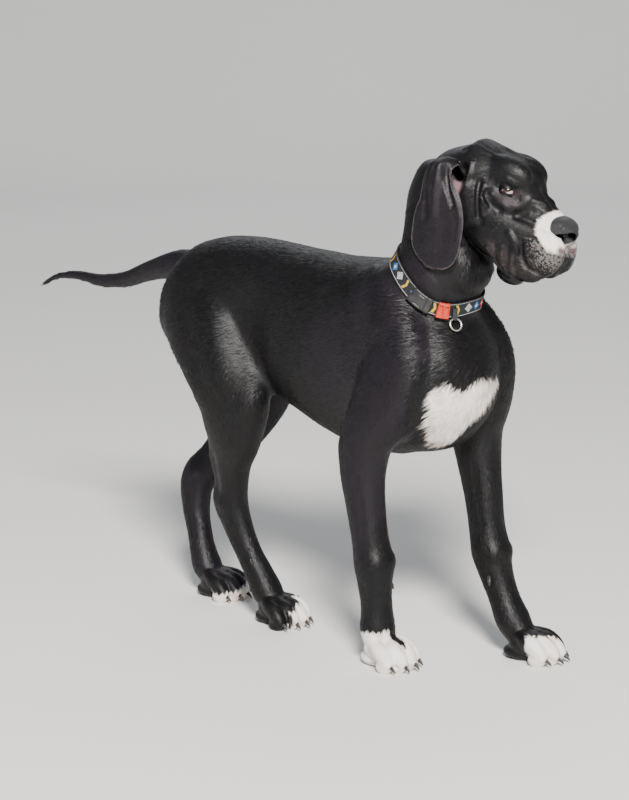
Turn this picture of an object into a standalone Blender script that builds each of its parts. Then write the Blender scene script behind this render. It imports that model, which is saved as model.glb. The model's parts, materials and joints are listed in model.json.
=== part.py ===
"""A young great dane standing with its head turned a little, as a life-size still model.

The dog faces +X, its left side is +Y and the floor is z = 0. Every soft form is a tube carried along a
path, the tubes are fused by a voxel remesh, and raised or carved strokes add bone, muscle and folds.
The fused body is then parted by thin cuts into the pieces that a person would name.
"""

import math

import bmesh
import bpy
import numpy as np
from mathutils import Matrix, Vector
from mathutils.bvhtree import BVHTree

# Driving sizes, in metres
GAP = 0.0003                  # clear space between two nodes that touch
MERGE_DISTANCE = 1e-7
BODY_VOXEL = 0.0065           # grain of the fused trunk before it is thinned
HEAD_VOXEL = 0.0028
PAW_VOXEL = 0.0026
TRUNK_TRIANGLES = 3650
HEAD_TRIANGLES = 2000
PAW_TRIANGLES = 440
EYE_RADIUS = 0.0122
COLLAR_WIDTH = 0.025
COLLAR_THICKNESS = 0.003

# The head's own frame: x forward, y left, z up, with its origin behind the ears
HEAD_ORIGIN = Vector((0.259, 0.007, 0.847))
HEAD_YAW = math.radians(10.0)     # turned to the dog's left
HEAD_PITCH = math.radians(16.4)   # nose down

# Materials: base colour, roughness and metallic value
FINISHES = {
    "coat": ((0.012, 0.011, 0.012, 1), 0.42, 0.0),
    "nose_leather": ((0.02, 0.02, 0.022, 1), 0.35, 0.0),
    "eye": ((0.03, 0.015, 0.008, 1), 0.08, 0.0),
    "webbing": ((0.015, 0.015, 0.02, 1), 0.7, 0.0),
    "black_plastic": ((0.02, 0.02, 0.022, 1), 0.4, 0.0),
    "orange_plastic": ((0.72, 0.08, 0.03, 1), 0.4, 0.0),
    "ring_steel": ((0.62, 0.58, 0.5, 1), 0.3, 1.0),
}

# Tubes of the trunk. Each row is x, y, z of the centre, then the reach to the upper (or front) side,
# to the lower (or back) side, and to either flank.
TORSO = (
    (-0.382, 0.000, 0.575, 0.050, 0.040, 0.050),
    (-0.365, 0.000, 0.572, 0.086, 0.068, 0.080),
    (-0.330, 0.000, 0.570, 0.116, 0.100, 0.098),
    (-0.270, 0.000, 0.572, 0.136, 0.126, 0.104),
    (-0.200, 0.000, 0.575, 0.141, 0.142, 0.100),
    (-0.120, 0.000, 0.570, 0.143, 0.137, 0.092),
    (-0.040, 0.000, 0.555, 0.152, 0.147, 0.096),
    (0.040, 0.000, 0.545, 0.156, 0.168, 0.107),
    (0.110, 0.000, 0.540, 0.163, 0.182, 0.112),
    (0.170, 0.000, 0.535, 0.172, 0.180, 0.112),
    (0.230, 0.000, 0.525, 0.160, 0.167, 0.109),
    (0.285, 0.000, 0.515, 0.125, 0.138, 0.102),
    (0.319, 0.000, 0.515, 0.095, 0.105, 0.090),
    (0.341, 0.000, 0.515, 0.062, 0.070, 0.064),
    (0.351, 0.000, 0.515, 0.030, 0.034, 0.034),
)
NECK = (
    (0.150, 0.000, 0.560, 0.110, 0.120, 0.085),
    (0.215, 0.000, 0.640, 0.075, 0.110, 0.086),
    (0.255, 0.002, 0.700, 0.068, 0.085, 0.079),
    (0.268, 0.004, 0.755, 0.074, 0.070, 0.069),
    (0.278, 0.007, 0.810, 0.084, 0.060, 0.062),
    (0.288, 0.010, 0.850, 0.078, 0.048, 0.052),
)
TAIL = (
    (-0.330, 0.000, 0.640, 0.034, 0.040, 0.034),
    (-0.385, 0.000, 0.644, 0.028, 0.034, 0.027),
    (-0.430, 0.000, 0.638, 0.024, 0.026, 0.023),
    (-0.480, 0.001, 0.625, 0.020, 0.021, 0.020),
    (-0.545, 0.003, 0.604, 0.0165, 0.0175, 0.0165),
    (-0.625, 0.006, 0.594, 0.0135, 0.0145, 0.0135),
    (-0.710, 0.008, 0.597, 0.0100, 0.0110, 0.0100),
    (-0.765, 0.008, 0.589, 0.0080, 0.0085, 0.0080),
    (-0.805, 0.008, 0.573, 0.0060, 0.0060, 0.0060),
)
FORE_RIGHT = (
    (0.175, -0.055, 0.665, 0.045, 0.045, 0.030),
    (0.222, -0.078, 0.600, 0.062, 0.062, 0.038),
    (0.252, -0.094, 0.530, 0.062, 0.082, 0.043),
    (0.230, -0.104, 0.460, 0.058, 0.072, 0.044),
    (0.192, -0.111, 0.402, 0.050, 0.058, 0.041),
    (0.184, -0.113, 0.350, 0.043, 0.044, 0.038),
    (0.192, -0.113, 0.280, 0.035, 0.037, 0.033),
    (0.203, -0.112, 0.215, 0.033, 0.034, 0.033),
    (0.210, -0.112, 0.182, 0.036, 0.036, 0.036),
    (0.211, -0.111, 0.150, 0.031, 0.032, 0.031),
    (0.213, -0.108, 0.100, 0.028, 0.028, 0.029),
    (0.215, -0.107, 0.062, 0.030, 0.029, 0.033),
    (0.219, -0.105, 0.040, 0.026, 0.027, 0.029),
)
FORE_LEFT = (
    (0.180, 0.055, 0.665, 0.045, 0.045, 0.030),
    (0.235, 0.078, 0.600, 0.062, 0.062, 0.038),
    (0.280, 0.096, 0.530, 0.060, 0.082, 0.043),
    (0.272, 0.107, 0.460, 0.056, 0.070, 0.044),
    (0.256, 0.112, 0.402, 0.050, 0.056, 0.041),
    (0.262, 0.110, 0.350, 0.043, 0.044, 0.038),
    (0.279, 0.105, 0.280, 0.035, 0.037, 0.033),
    (0.292, 0.102, 0.215, 0.033, 0.034, 0.033),
    (0.301, 0.101, 0.180, 0.036, 0.036, 0.036),
    (0.313, 0.100, 0.146, 0.031, 0.032, 0.031),
    (0.335, 0.099, 0.098, 0.028, 0.028, 0.029),
    (0.355, 0.098, 0.064, 0.030, 0.029, 0.032),
    (0.372, 0.098, 0.044, 0.026, 0.027, 0.028),
)
HIND_RIGHT = (
    (-0.275, -0.050, 0.630, 0.080, 0.085, 0.045),
    (-0.262, -0.066, 0.565, 0.105, 0.087, 0.052),
    (-0.222, -0.078, 0.490, 0.110, 0.068, 0.054),
    (-0.170, -0.082, 0.415, 0.090, 0.070, 0.048),
    (-0.168, -0.077, 0.360, 0.063, 0.067, 0.041),
    (-0.187, -0.066, 0.300, 0.044, 0.048, 0.033),
    (-0.192, -0.060, 0.258, 0.034, 0.038, 0.028),
    (-0.198, -0.056, 0.222, 0.035, 0.041, 0.028),
    (-0.186, -0.053, 0.180, 0.030, 0.032, 0.026),
    (-0.158, -0.050, 0.125, 0.026, 0.027, 0.024),
    (-0.131, -0.048, 0.085, 0.027, 0.028, 0.027),
    (-0.112, -0.047, 0.056, 0.028, 0.028, 0.029),
    (-0.100, -0.046, 0.040, 0.025, 0.025, 0.026),
)
HIND_LEFT = (
    (-0.280, 0.050, 0.630, 0.080, 0.085, 0.045),
    (-0.270, 0.066, 0.565, 0.105, 0.088, 0.052),
    (-0.245, 0.080, 0.490, 0.098, 0.076, 0.054),
    (-0.247, 0.084, 0.415, 0.066, 0.078, 0.046),
    (-0.278, 0.080, 0.355, 0.054, 0.064, 0.040),
    (-0.315, 0.066, 0.300, 0.044, 0.048, 0.034),
    (-0.350, 0.049, 0.256, 0.035, 0.040, 0.029),
    (-0.379, 0.033, 0.216, 0.036, 0.041, 0.028),
    (-0.377, 0.024, 0.170, 0.030, 0.031, 0.026),
    (-0.359, 0.016, 0.115, 0.026, 0.026, 0.024),
    (-0.345, 0.012, 0.078, 0.027, 0.027, 0.027),
    (-0.333, 0.011, 0.054, 0.028, 0.028, 0.029),
    (-0.321, 0.010, 0.040, 0.025, 0.025, 0.026),
)
# Each paw: leg rows, centre on the floor, and the way that the toes point
PAWS = {
    "fore_paw_right": (FORE_RIGHT, (0.224, -0.103), math.radians(-4.0)),
    "fore_paw_left": (FORE_LEFT, (0.388, 0.099), math.radians(10.0)),
    "hind_paw_right": (HIND_RIGHT, (-0.091, -0.046), math.radians(-2.0)),
    "hind_paw_left": (HIND_LEFT, (-0.304, 0.010), math.radians(4.0)),
}
PAW_SCALE = 1.07                # of the toes and pads, on the floor plan
PAW_TOP = 0.062                # height of the cut between a leg and its paw

# Tubes of the head, in the head's frame
SKULL = (
    (-0.020, 0.000, 0.012, 0.012, 0.034, 0.028),
    (0.005, 0.000, 0.015, 0.043, 0.060, 0.056),
    (0.045, 0.000, 0.010, 0.080, 0.066, 0.065),
    (0.085, 0.000, 0.010, 0.080, 0.068, 0.067),
    (0.115, 0.000, 0.008, 0.078, 0.064, 0.058),
    (0.138, 0.000, 0.006, 0.074, 0.060, 0.051),
    (0.156, 0.000, 0.002, 0.062, 0.054, 0.045),
    (0.172, 0.000, -0.004, 0.050, 0.046, 0.039),
    (0.190, 0.000, -0.008, 0.044, 0.040, 0.036),
    (0.215, 0.000, -0.012, 0.033, 0.034, 0.033),
    (0.230, 0.000, -0.016, 0.029, 0.030, 0.027),
    (0.242, 0.000, -0.020, 0.018, 0.026, 0.021),
)
UPPER_LIP = (
    (0.085, 0.046, -0.030, 0.030, 0.030, 0.014),
    (0.115, 0.048, -0.036, 0.034, 0.036, 0.015),
    (0.145, 0.045, -0.040, 0.036, 0.043, 0.016),
    (0.175, 0.039, -0.044, 0.038, 0.056, 0.017),
    (0.203, 0.034, -0.046, 0.038, 0.061, 0.018),
    (0.228, 0.031, -0.044, 0.034, 0.056, 0.019),
    (0.245, 0.026, -0.042, 0.030, 0.042, 0.018),
    (0.255, 0.017, -0.040, 0.020, 0.024, 0.012),
)
LOWER_JAW = (
    (0.020, 0.000, -0.040, 0.040, 0.036, 0.044),
    (0.070, 0.000, -0.052, 0.030, 0.034, 0.042),
    (0.120, 0.000, -0.062, 0.026, 0.034, 0.034),
    (0.170, 0.000, -0.068, 0.020, 0.028, 0.026),
    (0.210, 0.000, -0.070, 0.016, 0.020, 0.022),
    (0.236, 0.000, -0.068, 0.012, 0.015, 0.018),
)
# Round masses of the head: centre and half sizes, for the left side, mirrored to the right
HEAD_MASSES = (
    ((0.072, 0.048, -0.008), (0.056, 0.028, 0.054)),   # cheek muscle
    ((0.125, 0.027, 0.055), (0.050, 0.026, 0.030)),    # brow over the eye, running back to the temple
    ((0.125, 0.038, 0.006), (0.046, 0.018, 0.030)),    # cheekbone under the eye
    ((0.232, 0.024, -0.046), (0.026, 0.024, 0.030)),   # whisker pad
    ((0.183, 0.027, -0.101), (0.030, 0.016, 0.0210)),  # hanging corner of the lower lip
)
EYE_CENTRE = (0.1390, 0.0372, 0.0305)
EYE_AXIS = (0.56, 0.81, 0.10)          # where the left eye looks, mirrored for the right
# Edges of the lids by turn from the middle of the eye towards its inner corner, all in degrees:
# turn, height of the upper edge, height of the drooping lower edge
LID_EDGES = (
    (-80, -5, -6), (-55, 6, -10), (-25, 15, -13), (5, 22, -14), (35, 21, -14), (60, 9, -12), (80, -9, -11),
)
LID_DEPTH = 0.0030
# Rim of the ear's cup on the cheek, left side
EAR_RIM = (
    (0.071, 0.056, 0.060, 0.0030, 0.0030, 0.0030),
    (0.074, 0.063, 0.046, 0.0036, 0.0036, 0.0036),
    (0.0755, 0.069, 0.020, 0.0038, 0.0038, 0.0038),
    (0.071, 0.073, -0.004, 0.0034, 0.0034, 0.0034),
    (0.062, 0.073, -0.018, 0.0026, 0.0026, 0.0026),
)
# Left ear, from root to tip: centre, half width, inward curl of the front and rear edges, half thickness
EAR = (
    (0.040, 0.044, 0.030, 0.015, 0.004, 0.004, 0.0055),
    (0.034, 0.061, 0.051, 0.020, 0.006, 0.008, 0.0052),
    (0.029, 0.078, 0.046, 0.022, 0.007, 0.013, 0.0046),
    (0.0285, 0.087, 0.022, 0.0275, 0.006, 0.013, 0.0040),
    (0.036, 0.090, 0.002, 0.034, 0.005, 0.012, 0.0036),
    (0.0460, 0.091, -0.018, 0.0435, 0.004, 0.010, 0.0032),
    (0.0535, 0.091, -0.042, 0.0490, 0.003, 0.008, 0.0029),
    (0.0575, 0.090, -0.072, 0.0495, 0.003, 0.007, 0.0027),
    (0.0600, 0.089, -0.096, 0.0470, 0.003, 0.006, 0.0025),
    (0.0598, 0.088, -0.114, 0.0380, 0.003, 0.005, 0.0023),
    (0.0590, 0.088, -0.124, 0.0240, 0.002, 0.003, 0.0021),
    (0.0585, 0.088, -0.129, 0.0090, 0.001, 0.001, 0.0018),
)
COLLAR_CENTRE = (0.2550, 0.003, 0.6840)
COLLAR_NORMAL = (0.540, 0.0, 0.842)
# Height of the collar's middle line by turn from the front, in degrees; it drapes lower at the front
COLLAR_HEIGHTS = (
    (0, 0.636), (28, 0.634), (47, 0.636), (62, 0.643), (77, 0.655),
    (88, 0.673), (100, 0.694), (117, 0.713), (145, 0.725), (180, 0.728),
)
COLLAR_ROLL = 0.007
NOSE_LEATHER = (
    (0.217, 0.000, 0.000, 0.0140, 0.018, 0.0220),
    (0.229, 0.000, -0.003, 0.0190, 0.023, 0.0275),
    (0.244, 0.000, -0.007, 0.0212, 0.024, 0.0280),
    (0.256, 0.000, -0.009, 0.0168, 0.018, 0.0210),
    (0.262, 0.000, -0.010, 0.0090, 0.011, 0.0120),
)
# Left nostril: a round hole that narrows to a slit under the wing
NOSTRIL = (
    (0.272, 0.0090, -0.011, 0.0056, 0.0056, 0.0050),
    (0.261, 0.0125, -0.011, 0.0062, 0.0062, 0.0054),
    (0.256, 0.0195, -0.0140, 0.0064, 0.0064, 0.0050),
    (0.249, 0.0265, -0.0165, 0.0050, 0.0050, 0.0036),
    (0.242, 0.0315, -0.0165, 0.0020, 0.0024, 0.0020),
)
# Loose skin of the throat above the collar: points, radius and height
THROAT_SKIN = (
    ((0.338, -0.020, 0.709), (0.338, 0.034, 0.709), (0.338, 0.034, 0.688), (0.338, -0.020, 0.688)),
    0.040, 0.0140,
)
# Raised and carved lines of the head, left side: points, radius and height
HEAD_STROKES = (
    (((0.176, 0.0, 0.048), (0.150, 0.0, 0.072), (0.110, 0.0, 0.088)), 0.018, -0.0026),
    (((0.152, 0.040, 0.022), (0.140, 0.046, 0.032), (0.128, 0.052, 0.036)), 0.018, -0.0035),
    (((0.262, 0.010, -0.060), (0.240, 0.030, -0.090)), 0.008, -0.0030),
    (((0.262, 0.0, -0.028), (0.264, 0.0, -0.050), (0.262, 0.0, -0.075)), 0.009, -0.0060),
    (((0.198, 0.050, -0.050), (0.207, 0.052, -0.066), (0.221, 0.053, -0.080), (0.244, 0.049, -0.080)),
     0.009, -0.0028),
    (((0.100, 0.058, -0.066), (0.144, 0.056, -0.080), (0.170, 0.050, -0.096)), 0.008, -0.0030),
    (((0.114, 0.060, 0.017), (0.132, 0.056, 0.012), (0.146, 0.054, 0.000)), 0.010, -0.0022),
    (((0.099, 0.066, 0.034), (0.110, 0.068, -0.001), (0.120, 0.066, -0.030)), 0.010, -0.0025),
    (((0.088, 0.062, 0.030), (0.105, 0.058, 0.044)), 0.016, -0.0025),
    (((0.060, 0.064, 0.042), (0.063, 0.068, 0.020), (0.062, 0.069, 0.004)), 0.0165, -0.0140),
    (((0.152, 0.052, -0.094), (0.168, 0.050, -0.105), (0.192, 0.047, -0.114)), 0.0065, -0.0035),
)
NODE_FINISH = {
    "nose": "nose_leather",
    "eye": "eye",
    "collar_strap": "webbing",
    "collar_loop": "webbing",
    "collar_buckle": "black_plastic",
    "collar_slider": "orange_plastic",
    "collar_ring": "ring_steel",
}
BUCKLE_TURN = math.radians(-72.0)
SLIDER_TURN = math.radians(-46.0)
RING_TURN = math.radians(-31.0)
RING_RADIUS = 0.0105
RING_WIRE = 0.0016
# Half turn round the neck, half height and depth of each pad on the strap
BUCKLE_SIZE = (0.20, 0.0142, 0.0080)
SLIDER_SIZE = (0.13, 0.0142, 0.0075)
LOOP_SIZE = (0.06, 0.0110, 0.0062)
LOOP_DROP = 0.0055
STRAP_LIFT = 0.0026             # the strap's inner face stands this far off the neck
STRAP_SINK = 0.0040             # and it follows a hollow no deeper than this


def clear_scene():
    for item in list(bpy.data.objects):
        bpy.data.objects.remove(item)


def head_matrix():
    turn = Matrix.Rotation(HEAD_YAW, 4, "Z") @ Matrix.Rotation(HEAD_PITCH, 4, "Y")
    return Matrix.Translation(HEAD_ORIGIN) @ turn


def resample(rows, count):
    """Rows read along their own length and spaced evenly, with cubic curves through them."""
    keys = np.asarray(rows, float)
    steps = np.linalg.norm(np.diff(keys[:, :3], axis=0), axis=1)
    at = np.concatenate([[0.0], np.cumsum(steps)])
    slopes = np.gradient(keys, at, axis=0)
    wanted = np.linspace(0.0, at[-1], count)
    left = np.clip(np.searchsorted(at, wanted, side="right") - 1, 0, len(at) - 2)
    span = (at[left + 1] - at[left])[:, None]
    t = ((wanted - at[left]) / span[:, 0])[:, None]
    return (
        (2 * t**3 - 3 * t**2 + 1) * keys[left]
        + (t**3 - 2 * t**2 + t) * span * slopes[left]
        + (3 * t**2 - 2 * t**3) * keys[left + 1]
        + (t**3 - t**2) * span * slopes[left + 1]
    )


def tube_frames(rows, count):
    """Centres, the three reaches, and unit vectors along, to the left and up, at each ring of a tube."""
    dense = resample(rows, count)
    along = np.gradient(dense[:, :3], axis=0)
    along /= np.linalg.norm(along, axis=1, keepdims=True)
    left = np.tile([0.0, 1.0, 0.0], (count, 1))
    left -= (left * along).sum(1, keepdims=True) * along
    left /= np.linalg.norm(left, axis=1, keepdims=True)
    return dense[:, :3], dense[:, 3:6], along, left, np.cross(along, left)


def tube(rows, rings=40, around=28, squareness=2.2, dome_share=0.6):
    """A closed tube whose section reaches up, down and sideways as its rows say, with domed ends.

    A section is a superellipse: each side is a power of the cosine or sine of the turn angle.
    """
    centres, reach, along, left, up = tube_frames(rows, rings)
    turn = np.linspace(0.0, 2 * np.pi, around, endpoint=False)
    power = 2.0 / squareness
    across = np.sign(np.sin(turn)) * np.abs(np.sin(turn)) ** power
    rise = np.sign(np.cos(turn)) * np.abs(np.cos(turn)) ** power
    height = np.where(rise > 0, reach[:, :1], reach[:, 1:2]) * rise
    width = reach[:, 2:3] * across
    body = centres[:, None] + width[..., None] * left[:, None] + height[..., None] * up[:, None]
    sections = [body]
    for end, sign in ((0, -1.0), (-1, 1.0)):
        dome = reach[end].min() * dome_share
        caps = []
        for share in (0.5, 0.85):
            ring = centres[end] + (body[end] - centres[end]) * math.sqrt(1 - share**2)
            caps.append(ring + sign * share * dome * along[end])
        if end == 0:
            sections.insert(0, np.array(caps[::-1]))
        else:
            sections.append(np.array(caps))
    rings_xyz = np.concatenate(sections)
    domes = [sign * dome_share * reach[end].min() * along[end] for end, sign in ((0, -1), (-1, 1))]
    poles = [centres[0] + domes[0], centres[-1] + domes[1]]
    return closed_grid(rings_xyz, poles)


def closed_grid(rings_xyz, poles):
    """Points and faces of a stack of rings, closed by a pole at each end."""
    rows, around = rings_xyz.shape[:2]
    points = np.concatenate([rings_xyz.reshape(-1, 3), np.array(poles)])
    i, j = np.meshgrid(np.arange(rows - 1), np.arange(around), indexing="ij")
    k = (j + 1) % around
    quads = np.stack([i * around + j, i * around + k, (i + 1) * around + k, (i + 1) * around + j], -1)
    faces = quads.reshape(-1, 4).tolist()
    first, last, n = rows * around, rows * around + 1, (rows - 1) * around
    for a in range(around):
        b = (a + 1) % around
        faces.append([first, b, a])
        faces.append([last, n + a, n + b])
    return points, faces


def ellipsoid(centre, half_sizes, around=20, rows=12):
    polar = np.linspace(0, np.pi, rows + 2)[1:-1]
    turn = np.linspace(0, 2 * np.pi, around, endpoint=False)
    unit = np.stack(
        [
            np.sin(polar)[:, None] * np.cos(turn),
            np.sin(polar)[:, None] * np.sin(turn),
            np.repeat(np.cos(polar)[:, None], around, 1),
        ],
        -1,
    )
    size = np.array(half_sizes)
    poles = [np.array([0, 0, size[2]]), np.array([0, 0, -size[2]])]
    points, faces = closed_grid(unit * size, poles)
    return points + np.array(centre), faces


def mirrored(shape):
    points, faces = shape
    return points * [1, -1, 1], faces


def flipped_rows(rows):
    return tuple((x, -y, z, a, b, c) for x, y, z, a, b, c in rows)


def mesh_object(name, shapes, matrix=None):
    """One object from several closed shapes, faces turned outwards."""
    builder = bmesh.new()
    for points, faces in shapes:
        piece = bmesh.new()
        made = [piece.verts.new(p) for p in points]
        for face in faces:
            piece.faces.new([made[v] for v in face])
        bmesh.ops.recalc_face_normals(piece, faces=piece.faces)
        if piece.calc_volume(signed=True) < 0:
            bmesh.ops.reverse_faces(piece, faces=piece.faces)
        store = bpy.data.meshes.new("shape")
        piece.to_mesh(store)
        piece.free()
        builder.from_mesh(store)
        bpy.data.meshes.remove(store)
    mesh = bpy.data.meshes.new(name)
    builder.to_mesh(mesh)
    builder.free()
    if matrix is not None:
        mesh.transform(matrix)
    made_object = bpy.data.objects.new(name, mesh)
    bpy.context.scene.collection.objects.link(made_object)
    return made_object


def applied(target):
    """Applies every modifier of the object to its mesh."""
    graph = bpy.context.evaluated_depsgraph_get()
    mesh = bpy.data.meshes.new_from_object(target.evaluated_get(graph))
    old = target.data
    target.modifiers.clear()
    target.data = mesh
    bpy.data.meshes.remove(old)
    return target


def fused(target, voxel, smoothing):
    remesh = target.modifiers.new("fuse", "REMESH")
    remesh.mode = "VOXEL"
    remesh.voxel_size = voxel
    relax = target.modifiers.new("relax", "SMOOTH")
    relax.factor = 0.5
    relax.iterations = smoothing
    return applied(target)


def thinned(target, triangles):
    """Collapses edges until about this many triangles are left."""
    cleaner = bmesh.new()
    cleaner.from_mesh(target.data)
    bmesh.ops.triangulate(cleaner, faces=cleaner.faces)
    cleaner.to_mesh(target.data)
    cleaner.free()
    collapse = target.modifiers.new("thin", "DECIMATE")
    collapse.ratio = min(1.0, triangles / len(target.data.polygons))
    return applied(target)


def vertex_arrays(mesh):
    count = len(mesh.vertices)
    points = np.empty(count * 3)
    normals = np.empty(count * 3)
    mesh.vertices.foreach_get("co", points)
    mesh.vertices.foreach_get("normal", normals)
    return points.reshape(-1, 3), normals.reshape(-1, 3)


def line_distance(points, line):
    """Distance of each point to a chain of straight stretches."""
    nearest = np.full(len(points), np.inf)
    for a, b in zip(line[:-1], line[1:]):
        a, b = np.asarray(a, float), np.asarray(b, float)
        run = b - a
        share = np.clip((points - a) @ run / max(run @ run, 1e-12), 0, 1)
        nearest = np.minimum(nearest, np.linalg.norm(points - a - share[:, None] * run, axis=1))
    return nearest


def sculpt(target, strokes):
    """Moves the skin along its normals by each stroke's height, fading as a bell to its radius."""
    points, normals = vertex_arrays(target.data)
    move = np.zeros(len(points))
    for line, radius, height in strokes:
        near = np.clip(line_distance(points, line) / radius, 0, 1)
        move += height * (1 - near**2) ** 2
    points += normals * move[:, None]
    target.data.vertices.foreach_set("co", points.ravel())
    target.data.update()


def both_sides(strokes):
    found = []
    for line, radius, height in strokes:
        found.append((line, radius, height))
        found.append(([(x, -y, z) for x, y, z in line], radius, height))
    return found


def settle_dips(target, line, radius, rounds):
    """Smooths the skin near a line, so that a limb flows into the body there."""
    points, _ = vertex_arrays(target.data)
    near = np.clip(line_distance(points, line) / radius, 0, 1)
    weight = (1 - near**2) ** 2
    group = target.vertex_groups.new(name="blend")
    for index in np.flatnonzero(weight > 0.02):
        group.add([int(index)], float(weight[index]), "REPLACE")
    relax = target.modifiers.new("blend", "SMOOTH")
    relax.factor = 0.5
    relax.iterations = rounds
    relax.vertex_group = "blend"
    applied(target)
    target.vertex_groups.clear()


def leg_strokes(rows, hind):
    """Tendons, joints and muscle edges, placed on the leg's own tube."""
    centres, reach, along, left, up = tube_frames(rows, 60)

    def spot(height, front, side):
        k = int(np.argmin(np.abs(centres[:, 2] - height)))
        ahead = reach[k, 0] if front > 0 else reach[k, 1]
        return tuple(centres[k] + up[k] * ahead * front + left[k] * reach[k, 2] * side)

    if hind:
        return [
            ([spot(0.31, -0.5, side), spot(0.25, -0.45, side)], 0.022, -0.004) for side in (1.0, -1.0)
        ] + [
            ([spot(0.225, -1.0, 0.0), spot(0.30, -1.0, 0.0)], 0.014, 0.004),
            ([spot(0.222, 0.0, 1.0)], 0.016, 0.003),
            ([spot(0.222, 0.0, -1.0)], 0.016, 0.003),
        ]
    return [
        ([spot(0.182, 0.7, 0.6), spot(0.182, 0.7, -0.6)], 0.020, 0.003),
        ([spot(0.165, -1.0, 0.0)], 0.016, 0.006),
        ([spot(0.40, -1.0, 0.0)], 0.024, 0.008),
        ([spot(0.15, 0.0, 1.0), spot(0.09, 0.0, 1.0)], 0.010, -0.002),
        ([spot(0.15, 0.0, -1.0), spot(0.09, 0.0, -1.0)], 0.010, -0.002),
    ]


def make_trunk():
    legs = (FORE_RIGHT, FORE_LEFT, HIND_RIGHT, HIND_LEFT)
    shapes = [tube(TORSO, 60, 40, dome_share=0.25), tube(NECK, 30, 32), tube(TAIL, 50, 16)]
    shapes += [tube(rows, 60, 28) for rows in legs]
    trunk = fused(mesh_object("trunk", shapes), BODY_VOXEL, 4)
    for side in (-1, 1):
        settle_dips(trunk, [(0.17, 0.09 * side, 0.67), (0.23, 0.11 * side, 0.47)], 0.10, 14)
        settle_dips(trunk, [(-0.27, 0.09 * side, 0.66), (-0.17, 0.10 * side, 0.50)], 0.10, 14)
        settle_dips(trunk, [(-0.12, 0.07 * side, 0.45), (-0.30, 0.05 * side, 0.44)], 0.05, 8)
        settle_dips(trunk, [(0.20, 0.09 * side, 0.40), (0.30, 0.08 * side, 0.42)], 0.05, 8)
    settle_dips(trunk, [(0.17, 0.0, 0.70), (0.33, 0.0, 0.62)], 0.11, 16)
    settle_dips(trunk, [(-0.37, 0.0, 0.66)], 0.06, 10)
    strokes = both_sides(
        [
            ([(0.165, 0.06, 0.69), (0.22, 0.10, 0.61)], 0.045, 0.006),
            ([(0.09, 0.10, 0.63), (0.105, 0.12, 0.50), (0.14, 0.125, 0.43)], 0.050, -0.005),
            ([(0.02, 0.12, 0.44), (0.10, 0.12, 0.39)], 0.05, -0.006),
            ([(-0.11, 0.10, 0.60), (-0.12, 0.11, 0.47)], 0.06, -0.006),
            ([(-0.20, 0.115, 0.60), (-0.15, 0.13, 0.47)], 0.05, 0.006),
        ]
    )
    strokes.append(THROAT_SKIN)
    for rows, hind in zip(legs, (False, False, True, True)):
        strokes += leg_strokes(rows, hind)
    sculpt(trunk, strokes)
    return thinned(trunk, TRUNK_TRIANGLES)


def toe_rows(side, ahead):
    """A toe from the hand to the tip: it rises to a knuckle and bends down to the floor."""
    return (
        (-0.008, side * 0.50, 0.042, 0.014, 0.018, 0.0130),
        (0.014 + ahead, side * 0.85, 0.040, 0.014, 0.018, 0.0135),
        (0.030 + ahead, side, 0.034, 0.0135, 0.018, 0.0135),
        (0.042 + ahead, side * 1.05, 0.023, 0.0125, 0.016, 0.0125),
        (0.048 + ahead, side * 1.07, 0.014, 0.0100, 0.012, 0.0105),
    )


def claw(side, ahead):
    rows = (
        (0.048 + ahead, side * 1.06, 0.017, 0.0050, 0.0050, 0.0038),
        (0.059 + ahead, side * 1.07, 0.0145, 0.0038, 0.0040, 0.0028),
        (0.066 + ahead, side * 1.07, 0.0075, 0.0015, 0.0018, 0.0013),
    )
    return tube(rows, 3, 6, 2.0)


def make_paw(name, leg, place, heading):
    """The wrist's lower end, four toes, their pads and claws, and a flat sole at the floor."""
    spread = Matrix.Diagonal((PAW_SCALE, PAW_SCALE, 1, 1))
    turn = Matrix.Translation((place[0], place[1], 0)) @ Matrix.Rotation(heading, 4, "Z") @ spread
    toes = ((-0.030, -0.004), (-0.0105, 0.008), (0.0105, 0.008), (0.030, -0.004))
    local = [tube(toe_rows(side, ahead), 14, 14, 2.1) for side, ahead in toes]
    local += [ellipsoid((0.036 + ahead, side * 1.03, 0.010), (0.017, 0.0115, 0.013)) for side, ahead in toes]
    local.append(ellipsoid((-0.010, 0, 0.012), (0.034, 0.029, 0.015)))
    local.append(ellipsoid((0.004, 0, 0.030), (0.038, 0.034, 0.024)))
    joined = mesh_object("paw_forms", local, turn)
    shank = mesh_object("shank", [tube(leg[-5:], 16, 24)])
    forms = joined_objects([joined, shank], name)
    paw = fused(forms, PAW_VOXEL, 2)
    thinned(paw, PAW_TRIANGLES)
    flat_base(paw)
    claws = [mesh_object("claw", [claw(side, ahead)], turn) for side, ahead in toes]
    return united(paw, claws)


def joined_objects(objects, name):
    builder = bmesh.new()
    for item in objects:
        builder.from_mesh(item.data)
        bpy.data.objects.remove(item)
    mesh = bpy.data.meshes.new(name)
    builder.to_mesh(mesh)
    builder.free()
    made = bpy.data.objects.new(name, mesh)
    bpy.context.scene.collection.objects.link(made)
    return made


def cut_by_plane(target, point, normal):
    """Keeps what lies behind the plane and closes the cut with a flat face."""
    work = bmesh.new()
    work.from_mesh(target.data)
    everything = work.verts[:] + work.edges[:] + work.faces[:]
    bmesh.ops.bisect_plane(
        work, geom=everything, plane_co=point, plane_no=normal, clear_outer=True, dist=MERGE_DISTANCE
    )
    rims = [edge for edge in work.edges if edge.is_boundary]
    if rims:
        bmesh.ops.triangle_fill(work, edges=rims, use_beauty=True, use_dissolve=False)
        bmesh.ops.recalc_face_normals(work, faces=work.faces)
    bmesh.ops.triangulate(work, faces=work.faces)
    work.to_mesh(target.data)
    work.free()


def flat_base(target):
    cut_by_plane(target, (0, 0, 0), (0, 0, -1))


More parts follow.
